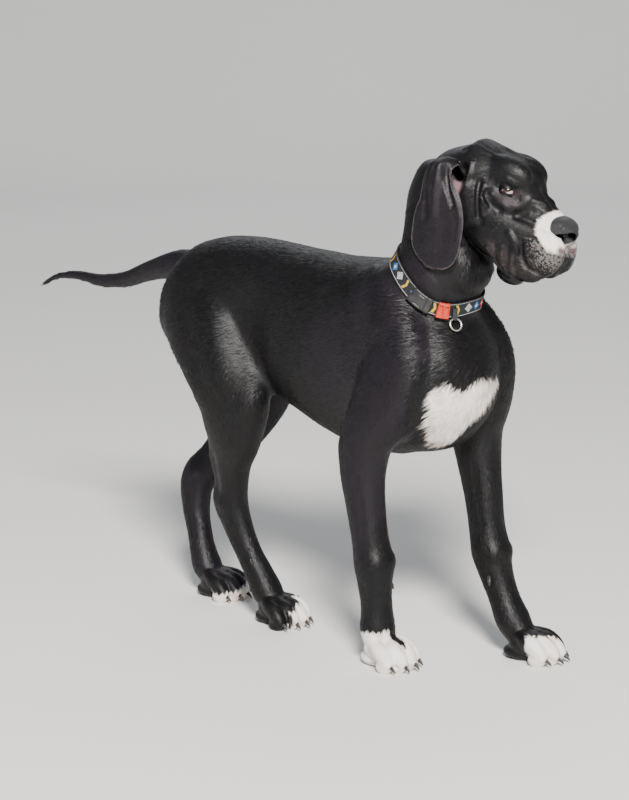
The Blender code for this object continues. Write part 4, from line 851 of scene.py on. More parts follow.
# %% Ears
EAR_FOLDS = (   # ridges and valleys of the flap, left side: points in the head's frame, radius, height
    (((0.028, 0.084, 0.044), (0.034, 0.091, 0.018), (0.037, 0.093, -0.006), (0.046, 0.094, -0.040)),
     0.013, 0.0052),
    (((0.012, 0.080, 0.034), (0.013, 0.087, 0.003), (0.022, 0.090, -0.020), (0.030, 0.091, -0.050)),
     0.011, -0.0044),
    (((0.002, 0.084, 0.010), (0.000, 0.086, -0.020), (0.008, 0.088, -0.060)), 0.007, 0.0022),
    (((0.040, 0.084, 0.042), (0.047, 0.087, 0.026), (0.059, 0.090, 0.008), (0.074, 0.091, -0.012)),
     0.007, -0.0040),
    (((0.052, 0.084, 0.032), (0.064, 0.088, 0.010), (0.080, 0.090, -0.006), (0.094, 0.090, -0.030),
      (0.100, 0.090, -0.066)), 0.006, 0.0020),
    (((0.070, 0.092, -0.050), (0.076, 0.092, -0.090)), 0.016, -0.0018),
    (((0.040, 0.090, -0.090), (0.060, 0.090, -0.112)), 0.018, 0.0016),
)


def make_ear(side, rows=110, columns=44):
    """A hanging leaf: centre + front * a * width - out * curl * a^2, as thick as sqrt(1 - a^2) allows."""
    dense = resample(EAR, rows)
    centres = dense[:, :3]
    along = unit(np.gradient(centres, axis=0))
    front = across(np.tile([1.0, 0.0, 0.0], (rows, 1)), along)
    out = np.cross(front, along)
    a = np.cos(np.linspace(0, 2 * np.pi, 2 * columns, endpoint=False))
    face = np.where(np.arange(2 * columns) < columns, 1.0, -1.0)
    width, front_curl, rear_curl, half = (dense[:, k, None] for k in range(3, 7))
    thick = half * face * np.sqrt(np.clip(1 - a**2, 0, 1))
    curl = np.where(a > 0, front_curl, rear_curl)
    lift = thick - curl * a**2
    rings = centres[:, None] + front[:, None] * (a * width)[..., None] + out[:, None] * lift[..., None]
    poles = [centres[0] - along[0] * 0.004, centres[-1] + along[-1] * 0.003]
    points, triangles = closed_stack(rings * [1, side, 1], np.array(poles) * [1, side, 1])
    ear_edges[side] = np.concatenate([rings[4:, 0], rings[:30:-1, columns]]) * [1, side, 1]
    ear = joined("ear_form", [(points, triangles)])
    points, _, edges, _ = arrays(ear.data)
    push = np.zeros(len(points))
    for line, radius, height in EAR_FOLDS:
        push += height * near(points * [1, side, 1], line, radius)
    store(ear.data, points + push[:, None] * np.array([0.0, side, 0.0]))
    return ear


ear_edges = {}
head = make_head()
boolean(head, [make_ear(1), make_ear(-1)], "UNION")
points, _, edges, _ = arrays(head.data)
roots = np.zeros(len(points))
for side in (1, -1):
    roots += near(points, [(0.040, 0.050 * side, 0.040), (0.030, 0.070 * side, 0.048)], 0.030)
store(head.data, relaxed(points, edges, np.clip(roots, 0, 1), 14))
head.data.transform(HEAD_PLACE)
print("head and ears", len(head.data.polygons), "faces")

# %% [markdown]
# ## One skin
# The solids are parted where a person would name the parts, but a live dog has no seams there. The head,
# the trunk and the paws are joined exactly, the joins are relaxed, and the skin is drawn in by the coat's
# depth.

# %% Join the skin
boolean(trunk, [head] + paws, "UNION")
skin = trunk
skin.name = skin.data.name = "skin"
points, normals, edges, triangles = arrays(skin.data)
seams = near(points, [(0.240, 0.006, 0.800), (0.300, 0.006, 0.790)], 0.085)
face_only = in_head(points)
seams *= np.clip((0.075 - face_only[:, 0]) / 0.03, 0, 1) * (np.abs(face_only[:, 1]) < 0.070)
for leg, _, _ in PAWS.values():
    seams += near(points, [leg[-3][:3]], 0.045) * np.clip((points[:, 2] - 0.045) / 0.02, 0, 1)
points = relaxed(points, edges, np.clip(seams, 0, 1), 24)
store(skin.data, points)
points, normals, edges, triangles = arrays(skin.data)
inward = normals * SKIN_DEPTH
inward[:, 2] *= np.clip(points[:, 2] / 0.006, 0, 1)
face_only = in_head(points)
for side in (1, -1):      # the lids are thinner than the coat is deep, so they stay where they are
    inward *= 1 - np.clip(2.5 * near(face_only, [eye_frame(side)[0]], 0.027), 0, 1)[:, None]
points = points - inward
skin_head = in_head(points)
print("skin", len(triangles), "triangles")

# %% [markdown]
# ## Markings
# The coat is black with a white chest patch, white toes, a cream band round the nose that breaks up into
# ticking, and thin pinkish skin under the eye. Painted light is marked here too: sheen on the flews, and
# shade in the ear's opening and in the mouth's gap. Each marking is a number between 0 and 1 at every point
# of the skin, worked out from where the point lies, so the tufts that grow there can carry the same numbers.

# %% Markings
CHEST_PATCH = (   # outline on the chest, y and z in the drawing
    (-0.092, 0.484), (-0.086, 0.502), (-0.071, 0.510), (-0.059, 0.503), (-0.043, 0.496), (-0.032, 0.498),
    (-0.024, 0.508), (-0.014, 0.514), (0.032, 0.512), (0.065, 0.498), (0.049, 0.483), (0.032, 0.469),
    (0.021, 0.455), (-0.006, 0.444), (-0.012, 0.421), (-0.018, 0.407), (-0.025, 0.396), (-0.040, 0.388),
    (-0.055, 0.401), (-0.070, 0.419), (-0.071, 0.429), (-0.080, 0.434), (-0.083, 0.448), (-0.087, 0.467),
)
PATCH_BACK = 0.255            # the patch ends this far forward on the chest
WHITE_TOES = {   # how high the white reaches on the outer and inner side of each paw, metres above the floor
    "fore_paw_right": (0.066, 0.078), "fore_paw_left": (0.040, 0.052),
    "hind_paw_right": (0.030, 0.050), "hind_paw_left": (0.034, 0.020),
}
RAGGED = 0.004                # how far hair tips carry a marking's edge


def ramp(values, low, high):
    """0 below low, 1 above high, and a smooth step between."""
    share = np.clip((values - low) / (high - low), 0, 1)
    return share * share * (3 - 2 * share)


def inside_depth(flat, outline):
    """Distance to an outline, positive inside: crossings of a ray give the side."""
    corners = np.asarray(outline, float)
    ends = np.roll(corners, -1, 0)
    spots = np.concatenate([flat, np.zeros((len(flat), 1))], 1)
    loop = [(x, y, 0.0) for x, y in corners] + [(corners[0][0], corners[0][1], 0.0)]
    distance = line_distance(spots, loop)
    x, y = flat[:, :1], flat[:, 1:]
    straddles = (corners[:, 1] > y) != (ends[:, 1] > y)
    share = (y - corners[:, 1]) / (ends[:, 1] - corners[:, 1] + 1e-12)
    at = corners[:, 0] + share * (ends[:, 0] - corners[:, 0])
    odd = (straddles & (x < at)).sum(1) % 2 == 1
    return np.where(odd, distance, -distance)


def hash_noise(spots, size, seed):
    """Smooth noise from -1 to 1: random corners of a lattice, blended by smooth steps."""
    grid = spots / size
    base = np.floor(grid).astype(np.int64)
    share = grid - base
    share = share * share * (3 - 2 * share)
    total = np.zeros(len(spots))
    for corner in np.ndindex(2, 2, 2):
        lattice = base + np.array(corner)
        code = (lattice * np.array([73856093, 19349663, 83492791]) + seed * 1013904223).sum(1) & 0xFFFFFF
        code = (code * 1103515245 + 12345) & 0x7FFFFFFF
        value = ((code >> 8) & 0xFFFF) / 32767.5 - 1
        total += value * np.prod(np.where(corner, share, 1 - share), axis=1)
    return total


MUZZLE_REAR = (   # how far forward the pale band begins, at each height in the head's frame
    (-0.110, 0.262), (-0.060, 0.256), (-0.047, 0.250), (-0.036, 0.240), (-0.027, 0.226), (-0.020, 0.215),
    (-0.010, 0.2065), (0.002, 0.2065), (0.015, 0.213), (0.020, 0.219), (0.030, 0.226),
)
LINES = {   # marks along lines of the left side of the head, mirrored: points, radius, how strong
    "pink": (((0.136, 0.052, 0.020), (0.152, 0.048, 0.014), (0.162, 0.044, 0.020), (0.162, 0.043, 0.032)),
             0.013, 0.55),
    "lip": (((0.158, 0.030, -0.108), (0.180, 0.030, -0.114), (0.205, 0.030, -0.112)), 0.022, 3.0),
    "cup": (((0.060, 0.064, 0.018), (0.062, 0.066, 0.008), (0.062, 0.068, -0.002)), 0.012, 1.5),
    # painted sheen where light falls on the flews
    "flew": (((0.150, 0.055, -0.070), (0.176, 0.052, -0.078), (0.200, 0.048, -0.084), (0.224, 0.046, -0.080)),
             0.028, 1.2),
    # painted shade in the ear's opening
    "cave": (((0.043, 0.061, 0.040), (0.051, 0.0585, 0.034), (0.057, 0.056, 0.028)), 0.0125, 1.8),
    "flesh": (((0.256, 0.030, -0.034), (0.262, 0.014, -0.038), (0.256, 0.004, -0.036)), 0.009, 1.2),
}


def markings(spots):
    """White, ticking, bare skin, dark lip, the ears' rims, and painted shade and sheen, at points of the
    drawing.
    """
    face = in_head(spots)
    side = np.abs(face[:, 1])
    folded = np.stack([face[:, 0], side, face[:, 2]], -1)
    ragged = hash_noise(spots * [1, 1, 0.35], 0.004, 1) + 0.6 * hash_noise(spots * [1, 1, 0.4], 0.010, 2)
    chest = inside_depth(spots[:, 1:], CHEST_PATCH) + ragged * RAGGED
    white = ramp(chest, -0.0015, 0.0015) * (spots[:, 0] > PATCH_BACK)
    for name, (outer, inner) in WHITE_TOES.items():
        local = (spots - np.array([*PAWS[name][1], 0])) @ np.array(Matrix.Rotation(PAWS[name][2], 3, "Z"))
        flank = local[:, 1] * (1 if "right" in name else -1)
        top = outer + (inner - outer) * np.clip(flank / 0.06 + 0.5, 0, 1)
        toes = ramp(top - spots[:, 2] + ragged * 0.005, -0.002, 0.002)
        if name == "fore_paw_right":      # a black wedge runs down the middle of the wrist
            wedge = 0.010 - np.abs(flank - 0.004) - np.clip(0.058 - spots[:, 2], 0, 1) * 0.5 + ragged * 0.002
            toes *= 1 - ramp(wedge, -0.001, 0.001) * ramp(local[:, 0], 0.0, 0.01)
        else:
            toes *= ramp(local[:, 0] + ragged * 0.006, 0.012, 0.018)
        if name in ("hind_paw_right", "fore_paw_left"):
            toes *= ramp(flank + ragged * 0.003, -0.021, -0.017)
        white = np.maximum(white, toes * (np.abs(local[:, 0]) < 0.10) * (np.abs(local[:, 1]) < 0.07))
    keys = np.array(MUZZLE_REAR)
    band = face[:, 0] - np.interp(face[:, 2], keys[:, 0], keys[:, 1]) + ragged * 0.0022
    low = ramp(face[:, 2] + ragged * 0.003, -0.043, -0.033)
    white = np.maximum(white, ramp(band, -0.002, 0.003) * low)
    tick = ramp(band, -0.050, -0.012) * ramp(face[:, 2], -0.092, -0.054) * ramp(-face[:, 2], 0.020, 0.034)
    found = {"white": white, "tick": tick}
    for name, (line, radius, strong) in LINES.items():
        found[name] = np.clip(near(folded, line, radius) * strong, 0, 1)
    # the mouth's gap: painted shade, joined to the dark lip
    gap = ramp(-side, -0.026, -0.020) * ramp(-face[:, 2], 0.046, 0.052) * ramp(face[:, 0], 0.222, 0.236)
    gap *= face[:, 2] > -0.12
    found["lip"] = np.maximum(found["lip"], gap)
    found["white"] = white * (1 - found["lip"]) * (1 - 0.8 * found["flesh"])
    found["rim"] = np.clip(sum(near(face, line[::3], 0.0042) for line in ear_edges.values()) * 1.5, 0, 1)
    found["ear"] = ramp(side, 0.066, 0.080) * (face[:, 2] < 0.075) * (face[:, 0] < 0.115)
    return found


marks = markings(points)
marks["legs"] = ramp(-points[:, 2], -0.47, -0.40)
marks["face"] = ramp(skin_head[:, 0], 0.00, 0.05) * (points[:, 2] > 0.62)
print("white share of the skin", round(float(marks["white"].mean()), 3))


def add_numbers(mesh, values):
    """Writes numbers as attributes on the mesh's points."""
    for name, value in values.items():
        mesh.attributes.new(name, "FLOAT", "POINT")
        mesh.attributes[name].data.foreach_set("value", np.asarray(value, np.float32))


def add_marks(mesh, values):
    """Writes each marking under its own name."""
    add_numbers(mesh, {"mark_" + name: value for name, value in values.items()})


# %% [markdown]
# ## Finishes
# A material is a formula over the surface. The class below lets a socket be used in ordinary arithmetic,
# and `put` adds any other node. Only what varies over the surface is linked; a constant stays on the shader.

# %% Shader arithmetic
class Signal:
    """A socket that can be added, multiplied and compared, which adds the Math nodes for it."""

    def __init__(self, finish, socket):
        self.finish, self.socket = finish, socket

    def math(self, operation, *values):
        """One Math node on one value or more."""
        return self.finish.put("ShaderNodeMath", {"operation": operation}, dict(enumerate(values)))

    def only(self, operation):
        """An operation on this value alone, such as its sine."""
        return self.math(operation, self)

    def __add__(self, other):
        return self.math("ADD", self, other)

    def __sub__(self, other):
        return self.math("SUBTRACT", self, other)

    def __rsub__(self, other):
        return self.math("SUBTRACT", other, self)

    def __mul__(self, other):
        return self.math("MULTIPLY", self, other)

    def __truediv__(self, other):
        return self.math("DIVIDE", self, other)

    def __rtruediv__(self, other):
        return self.math("DIVIDE", other, self)

    def __gt__(self, other):
        return self.math("GREATER_THAN", self, other)

    def __lt__(self, other):
        return self.math("LESS_THAN", self, other)

    __radd__, __rmul__ = __add__, __mul__

    def step(self, low, high):
        """A smooth step from 0 at low to 1 at high."""
        settings = {"interpolation_type": "SMOOTHSTEP"}
        inputs = {"Value": self, "From Min": low, "From Max": high}
        return self.finish.put("ShaderNodeMapRange", settings, inputs, "Result")


class Finish:
    """One material: its shader's constants are set here, and its formulas link into it."""

    def __init__(self, name, **constants):
        self.material = bpy.data.materials.new(name)
        self.material.use_nodes = True
        self.tree = self.material.node_tree
        self.shader = self.tree.nodes["Principled BSDF"]
        for key, value in constants.items():
            self.shader.inputs[key.replace("_", " ")].default_value = value

    def put(self, kind, settings=None, inputs=None, out=0):
        """Adds a node, sets its settings first and then its sockets, and returns one of its outputs."""
        made = self.tree.nodes.new(kind)
        for key, value in (settings or {}).items():
            setattr(made, key, value)
        for key, value in (inputs or {}).items():
            if isinstance(value, Signal):
                self.tree.links.new(value.socket, made.inputs[key])
            else:
                made.inputs[key].default_value = value
        return Signal(self, made.outputs[out])

    def place(self, scale=(1, 1, 1)):
        """Object coordinates, scaled."""
        spot = self.put("ShaderNodeTexCoord", out="Object")
        return self.put("ShaderNodeMapping", None, {"Vector": spot, "Scale": scale})

    def noise(self, spot, scale, detail=3.0, rough=0.55):
        """Cloudy noise, about 0.5 in the mean."""
        inputs = {"Vector": spot, "Scale": scale, "Detail": detail, "Roughness": rough}
        return self.put("ShaderNodeTexNoise", None, inputs, "Fac")

    def cells(self, feature, scale):
        """Voronoi cells: the distance to a cell's edge, or to its centre."""
        inputs = {"Vector": self.place(), "Scale": scale}
        return self.put("ShaderNodeTexVoronoi", {"feature": feature}, inputs, "Distance")

    def mark(self, name):
        """A number that the mesh carries at each point."""
        return self.put("ShaderNodeAttribute", {"attribute_name": name}, None, "Fac")

    def mix(self, share, first, second):
        """A colour between two colours."""
        return self.put("ShaderNodeMix", {"data_type": "RGBA"}, {0: share, 6: first, 7: second}, 2)

    def bump(self, height, distance, strength=1.0, under=None):
        """A normal tilted by a height, over another normal where one is given."""
        inputs = {"Height": height, "Distance": distance, "Strength": strength}
        if under is not None:
            inputs["Normal"] = under
        return self.put("ShaderNodeBump", None, inputs)

    def link(self, name, signal):
        """Feeds one socket of the material's shader."""
        self.tree.links.new(signal.socket, self.shader.inputs[name])


# %% [markdown]
# ## The coat's finish
# Short black hair is glossy along its lie: each hair mirrors the sky as a thin line, so the coat shows
# streaks of grey, brown and violet over a nearly black ground. These streaks are painted sheen in the base
# colour. Noise stretched along the lie gives the streaks, along X on the body and along Z on the legs.
# Skin and tufts share this one formula.

# %% Coat and skin
BLACK = (0.0009, 0.0008, 0.0011, 1)
# painted sheen: brown and violet streaks that stand in for the black coat's gloss
BROWN_PAINTED_SHEEN = (0.0048, 0.0035, 0.0034, 1)
VIOLET_PAINTED_SHEEN = (0.0036, 0.0033, 0.0050, 1)
EAR_VELVET = (0.0074, 0.0049, 0.0090, 1)
# painted sheen of the flews
FLEW_PAINTED_SHEEN = (0.034, 0.026, 0.026, 1)
WHITE_HAIR = (0.80, 0.76, 0.73, 1)
WARM_WHITE = (0.68, 0.58, 0.53, 1)
GREY_TICK = (0.115, 0.105, 0.102, 1)
PINK_SKIN = (0.036, 0.018, 0.024, 1)
FLESH_LIP = (0.070, 0.034, 0.038, 1)
# dark lip skin, also the painted shade of the mouth's gap
LIP_SKIN_AND_MOUTH_SHADE = (0.0035, 0.0035, 0.0045, 1)
CUP_SKIN = (0.15, 0.090, 0.105, 1)
RIM_SKIN = (0.075, 0.060, 0.066, 1)
# painted shade in the ear's opening
EAR_OPENING_PAINTED_SHADE = (0.0006, 0.0005, 0.0006, 1)


def coat_finish(name, is_skin):
    """Black with streaks of painted sheen, and each marking mixed over it by its own number."""
    finish = Finish(name, Specular_IOR_Level=0.27, Sheen_Weight=0.01, Sheen_Roughness=0.35)
    finish.shader.inputs["Sheen Tint"].default_value = (0.80, 0.74, 0.86, 1)
    along_body = finish.noise(finish.place((0.14, 1, 1)), 520, 2)
    along_legs = finish.noise(finish.place((1, 1, 0.14)), 520, 2)
    legs = finish.mark("mark_legs")
    streaks = along_body * (1 - legs) + along_legs * legs
    broad = finish.noise(finish.place(), 14, 4)
    fine = finish.noise(finish.place((0.5, 1, 1)), 90, 3)
    # painted sheen: brown and violet streaks along the lie, over black
    ground = finish.mix(broad.step(0.40, 0.66), VIOLET_PAINTED_SHEEN, BROWN_PAINTED_SHEEN)
    ground = finish.mix((streaks * 0.55 + fine * 0.45).step(0.30, 0.74), BLACK, ground)
    ground = finish.mix(finish.mark("mark_ear") * (0.45 + fine * 0.5), ground, EAR_VELVET)
    # painted sheen on the flews, broken by creases
    creases = finish.noise(finish.place((1, 1, 0.35)), 130, 3)
    flews = finish.mark("mark_flew") * (creases * 0.6 + streaks * 0.4).step(0.38, 0.68)
    ground = finish.mix(flews, ground, FLEW_PAINTED_SHEEN)
    drift = finish.noise(finish.place((0.6, 1, 0.6)), 45, 3)
    snow = finish.mix(drift.step(0.40, 0.72), WHITE_HAIR, WARM_WHITE)
    speck = finish.noise(finish.place(), 300, 2)
    tick = finish.mark("mark_tick")
    colour = finish.mix((speck + tick * 0.21).step(0.62, 0.72) * tick, ground, GREY_TICK)
    colour = finish.mix(finish.mark("mark_white"), colour, snow)
    colour = finish.mix(finish.mark("mark_flesh") * 0.8, colour, FLESH_LIP)
    colour = finish.mix(finish.mark("mark_rim") * (0.35 + fine * 0.6), colour, RIM_SKIN)
    if is_skin:
        colour = finish.mix(finish.mark("mark_cup"), colour, CUP_SKIN)
        # painted shade in the ear's opening
        colour = finish.mix(finish.mark("mark_cave"), colour, EAR_OPENING_PAINTED_SHADE)
    colour = finish.mix(finish.mark("mark_pink") * (0.20 + fine * 0.7), colour, PINK_SKIN)
    # dark lip skin, with painted shade in the mouth's gap
    lip = finish.mark("mark_lip")
    colour = finish.mix(lip, colour, LIP_SKIN_AND_MOUTH_SHADE)
    finish.link("Base Color", colour)
    rough = 0.37 + fine * 0.14 + streaks * 0.10 + finish.mark("mark_white") * 0.14
    for name_of_mark, more in (("mark_pink", 0.16), ("mark_cup", 0.2), ("mark_cave", 0.4)):
        rough = rough + finish.mark(name_of_mark) * more
    finish.link("Roughness", (rough - finish.mark("mark_face") * 0.03) * (1 - lip * 0.60))
    if is_skin:      # painted shade: a dark metal mirrors nothing, so the ear's opening stays black
        finish.link("Metallic", finish.mark("mark_cave"))
    grain = streaks * 0.75 + finish.noise(finish.place(), 800, 2) * 0.25
    folds = finish.noise(finish.place(), 30, 4)
    finish.link("Normal", finish.bump(grain, 0.0009, 0.6, finish.bump(folds, 0.0030, 0.35)))
    return finish.material


skin_material = coat_finish("short_black_skin", True)
tuft_material = coat_finish("short_black_tufts", False)


# %% Put the skin in place
FLESH_STARTS = ("torso", "neck", "head", "tail", "fore_", "hind_", "ear_")
FLESH = [name for name in frame["nodes"] if name.startswith(FLESH_STARTS)]
bpy.data.objects.remove(skin)
skin = put_mesh("skin", points + SHIFT, triangles)
add_marks(skin.data, marks)
skin.data.materials.append(skin_material)
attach(skin, "root")
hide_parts(*FLESH)
print("one skin stands for", len(FLESH), "solids")

# %% [markdown]
# ## Eyes
# Only the dark brown iris, the wide pupil and a little pink haw show between the lids. The ball is drawn
# by its angle from the way it looks, with a cornea that bulges in front, and carries that angle as an
# attribute, so the colours are rings round the gaze.

# %% Eyes
PUPIL = (0.002, 0.002, 0.003, 1)
IRIS_DARK, IRIS_PALE = (0.016, 0.007, 0.004, 1), (0.055, 0.024, 0.012, 1)
IRIS_RIM = (0.006, 0.004, 0.004, 1)
EYE_WHITE = (0.10, 0.060, 0.055, 1)
HAW_PINK, HAW_PALE = (0.42, 0.24, 0.24, 1), (0.66, 0.50, 0.50, 1)
HAW_DEEP = (0.070, 0.030, 0.030, 1)


def eyeball(side, rows=36, around=48):
    """Centre + R (1 + bulge e^(-(p/w)^2)) (cos p look + sin p (cos t outer + sin t rise))."""
    centre, look, outer, rise = eye_frame(side)
    polar = np.linspace(0.04, np.pi - 0.04, rows)[:, None, None]
    turn = np.linspace(0, 2 * np.pi, around, endpoint=False)[None, :, None]
    radius = EYE_RADIUS * (0.985 + 0.05 * np.exp(-(polar / 0.42) ** 2))
    spoke = np.cos(turn) * outer + np.sin(turn) * rise
    rings = centre + radius * (np.cos(polar) * look + np.sin(polar) * spoke)
    poles = [centre + look * EYE_RADIUS * 1.035, centre - look * EYE_RADIUS * 0.985]
    angle = np.concatenate([np.repeat(polar.ravel(), around), [0.0, np.pi]])
    low_corner = (-np.sin(turn) * 0.87 - np.cos(turn) * 0.50) * np.sin(polar)
    haw = np.concatenate([low_corner.ravel(), [0.0, 0.0]])
    return closed_stack(rings, poles), {"gaze": angle, "haw": haw}


def eye_finish():
    """Rings of colour by the angle from the gaze, and the haw in the inner corner."""
    finish = Finish("wet_brown_eye", Specular_IOR_Level=0.6, Coat_IOR=1.38, Coat_Roughness=0.02)
    angle = finish.mark("gaze")
    fibres = finish.noise(finish.place(), 900, 3)
    iris = finish.mix(fibres.step(0.35, 0.7), IRIS_DARK, IRIS_PALE)
    iris = finish.mix((angle + fibres * 0.03).step(0.56, 0.64), iris, IRIS_RIM)
    haw = finish.mix(fibres.step(0.3, 0.7), HAW_PINK, HAW_PALE)
    haw = finish.mix(angle.step(0.95, 1.15), haw, HAW_DEEP)
    white = finish.mix(angle.step(0.66, 0.76), iris, EYE_WHITE)
    seen = finish.mix(angle.step(0.24, 0.29), PUPIL, white)
    corner = (finish.mark("haw") + fibres * 0.06).step(0.07, 0.13)
    finish.link("Base Color", finish.mix(corner, seen, haw))
    finish.link("Roughness", 0.10 + fibres * 0.06)
    finish.shader.inputs["Coat Weight"].default_value = 1.0
    return finish.material


HEAD_MATRIX = Matrix.Translation(Vector(SHIFT) + HEAD_ORIGIN) @ HEAD_TURN
eye_material = eye_finish()
for eye_name, side in (("eye_left", 1), ("eye_right", -1)):
    shape, drawn = eyeball(side)
    eye = joined(eye_name + "_ball", [shape], HEAD_MATRIX)
    add_numbers(eye.data, drawn)
    eye.data.materials.append(eye_material)
    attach(eye, "root")
    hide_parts(eye_name)
print("eyes of", round(EYE_RADIUS * 2000, 1), "mm")

# %% [markdown]
# ## Nose leather
# The nose is bare, moist and pebbled. Its block is a short tube with two comma-shaped holes cut in, which
# narrow to a slit under each wing, and a groove down the middle. Cells of two sizes make the pebbles.
# The holes are painted black as shade.

# %% Nose
NOSE_LEATHER = (
    (0.217, 0.000, 0.000, 0.0140, 0.018, 0.0220),
    (0.229, 0.000, -0.003, 0.0190, 0.023, 0.0275),
    (0.244, 0.000, -0.007, 0.0212, 0.024, 0.0280),
    (0.256, 0.000, -0.009, 0.0168, 0.018, 0.0210),
    (0.262, 0.000, -0.010, 0.0090, 0.011, 0.0120),
)
NOSTRIL = (
    (0.272, 0.0090, -0.011, 0.0056, 0.0056, 0.0050),
    (0.261, 0.0125, -0.011, 0.0062, 0.0062, 0.0054),
    (0.256, 0.0195, -0.0140, 0.0064, 0.0064, 0.0050),
    (0.249, 0.0265, -0.0165, 0.0050, 0.0050, 0.0036),
    (0.242, 0.0315, -0.0165, 0.0020, 0.0024, 0.0020),
)
NOSTRIL_GROWTH = 1.35                 # wider than the solid's, so the dark shows from the side
NOSTRIL_BACK, NOSTRIL_DOWN = 0.0015, 0.0010
NOSE_GROOVE = (((0.268, 0.0, 0.004), (0.268, 0.0, -0.034)), 0.0035, -0.0022)
NOSE_WINGS = (
    (((0.252, 0.024, 0.004), (0.246, 0.028, -0.012)), 0.007, 0.0016),
    (((0.262, 0.014, 0.002), (0.266, 0.008, 0.000)), 0.005, 0.0012),
)
PEBBLE_LOW, PEBBLE_HIGH = (0.006, 0.006, 0.007, 1), (0.024, 0.025, 0.030, 1)
# painted shade inside the nostrils
NOSTRIL_PAINTED_SHADE = (0.0006, 0.0006, 0.0006, 1)


def make_nose():
    """A short tube with a groove, less a bent tube on each side for the nostrils."""
    nose = joined("nose_leather", [tube(NOSE_LEATHER, 40, 48, 2.4)])
    fused(nose, 0.0010)
    smoothed(nose, 3)
    sculpt(nose, [NOSE_GROOVE] + both_sides(NOSE_WINGS))
    holes = []
    for side in (1, -1):
        rows = []
        for x, y, z, *reach in NOSTRIL:
            wider = tuple(r * NOSTRIL_GROWTH for r in reach)
            rows.append((x - NOSTRIL_BACK, y * side, z - NOSTRIL_DOWN) + wider)
        holes.append(joined("hole", [tube(rows, 30, 20, 2.0)]))
    boolean(nose, holes, "DIFFERENCE")
    points, _, edges, _ = arrays(nose.data)
    rims, hollow = np.zeros(len(points)), np.zeros(len(points))
    for side in (1, -1):
        rims += near(points, [(0.262, 0.012 * side, -0.010), (0.251, 0.026 * side, -0.015)], 0.012)
        hollow = np.maximum(hollow, near(points * [1, side, 1], [row[:3] for row in NOSTRIL[:4]], 0.0125))
    store(nose.data, relaxed(points, edges, np.clip(rims, 0, 1) * 0.8, 5))
    # where the nostrils' painted shade goes
    add_numbers(nose.data, {"hollow": ramp(hollow, 0.22, 0.34)})
    nose.data.transform(HEAD_MATRIX)
    return nose


def nose_finish():
    """Pebbles from the distance to the edge of small cells, and painted shade in the nostrils."""
    finish = Finish("moist_nose_leather", Specular_IOR_Level=0.55, Coat_Roughness=0.25)
    cells = finish.cells("DISTANCE_TO_EDGE", 620)
    small = finish.cells("F1", 1400)
    cloud = finish.noise(finish.place(), 70, 3)
    raised = cells.step(0.0, 0.25) * cloud.step(0.3, 0.7)
    pebbles = finish.mix(raised, PEBBLE_LOW, PEBBLE_HIGH)
    # painted shade in the nostrils: black, and as a dark metal it mirrors nothing
    finish.link("Base Color", finish.mix(finish.mark("hollow"), pebbles, NOSTRIL_PAINTED_SHADE))
    finish.link("Roughness", 0.32 + cloud * 0.22 + finish.mark("hollow") * 0.3)
    finish.link("Metallic", finish.mark("hollow"))
    finish.link("Normal", finish.bump(cells.step(0.0, 0.22) - small * 0.2, 0.0005, 0.8))
    return finish.material


nose = make_nose()
nose.data.materials.clear()
nose.data.materials.append(nose_finish())
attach(nose, "root")
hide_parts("nose")
print("nose", len(nose.data.polygons), "faces, both nostrils cut")

# %% [markdown]
# ## Claws
# Each toe ends in a dark blunt horn that leaves the hair and bends to the floor. A claw is a tube of four
# rows. The forelegs' dew claws sit on the inside of the wrist.

# %% Claws
HORN_DARK, HORN_PALE = (0.010, 0.008, 0.008, 1), (0.040, 0.032, 0.030, 1)


def claw_rows(side, ahead):
    """Rows of a tube that leaves the toe and bends down to the floor."""
    return (
        (0.044 + ahead, side * 1.06, 0.0160, 0.0048, 0.0048, 0.0036),
        (0.053 + ahead, side * 1.07, 0.0142, 0.0038, 0.0040, 0.0029),
        (0.060 + ahead, side * 1.07, 0.0100, 0.0024, 0.0026, 0.0019),
        (0.0635 + ahead, side * 1.07, 0.0058, 0.0010, 0.0011, 0.0009),
    )


def horn_finish():
    """Dark horn with faint bands across it."""
    finish = Finish("dark_horn", Specular_IOR_Level=0.5)
    bands = finish.noise(finish.place((1, 1, 4)), 240, 3)
    finish.link("Base Color", finish.mix(bands.step(0.35, 0.65), HORN_DARK, HORN_PALE))
    finish.link("Roughness", 0.34 + bands * 0.2)
    finish.link("Normal", finish.bump(bands, 0.0004, 0.6))
    return finish.material


horn = horn_finish()
for paw_name in PAWS:
    shapes = []
    place = np.array(Matrix.Translation(Vector(SHIFT)) @ paw_matrix(paw_name))
    for side, ahead in TOES:
        claw_points, claw_triangles = tube(claw_rows(side, ahead), 16, 14, 2.0)
        shapes.append((claw_points @ place[:3, :3].T + place[:3, 3], claw_triangles))
    if paw_name.startswith("fore"):
        inner = 1 if "right" in paw_name else -1
        wrist = np.array(PAWS[paw_name][0][9][:3])
        dew = [(0.006, 0.027 * inner, -0.004), (0.011, 0.033 * inner, -0.011), (0.013, 0.034 * inner, -0.018)]
        sizes = zip(np.array(dew), (0.0042, 0.0034, 0.0012))
        rows = [tuple(wrist + SHIFT + spot) + (r, r, r * 0.8) for spot, r in sizes]
        shapes.append(tube(rows, 12, 12, 2.0))
    claws = joined("claws_" + paw_name, shapes)
    claws.data.materials.append(horn)
    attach(claws, "root")
print("claws", 4 * len(TOES) + 2)

# %% [markdown]
# ## The collar
# A flat webbing band lies on the neck, so its path is found by rays from the middle of the neck to the
# skin. Everything on it is then placed by a turn round the neck and a share of the band's width. The
# printed pattern is a plain one of diamonds and bars, in UV coordinates that run along the band.

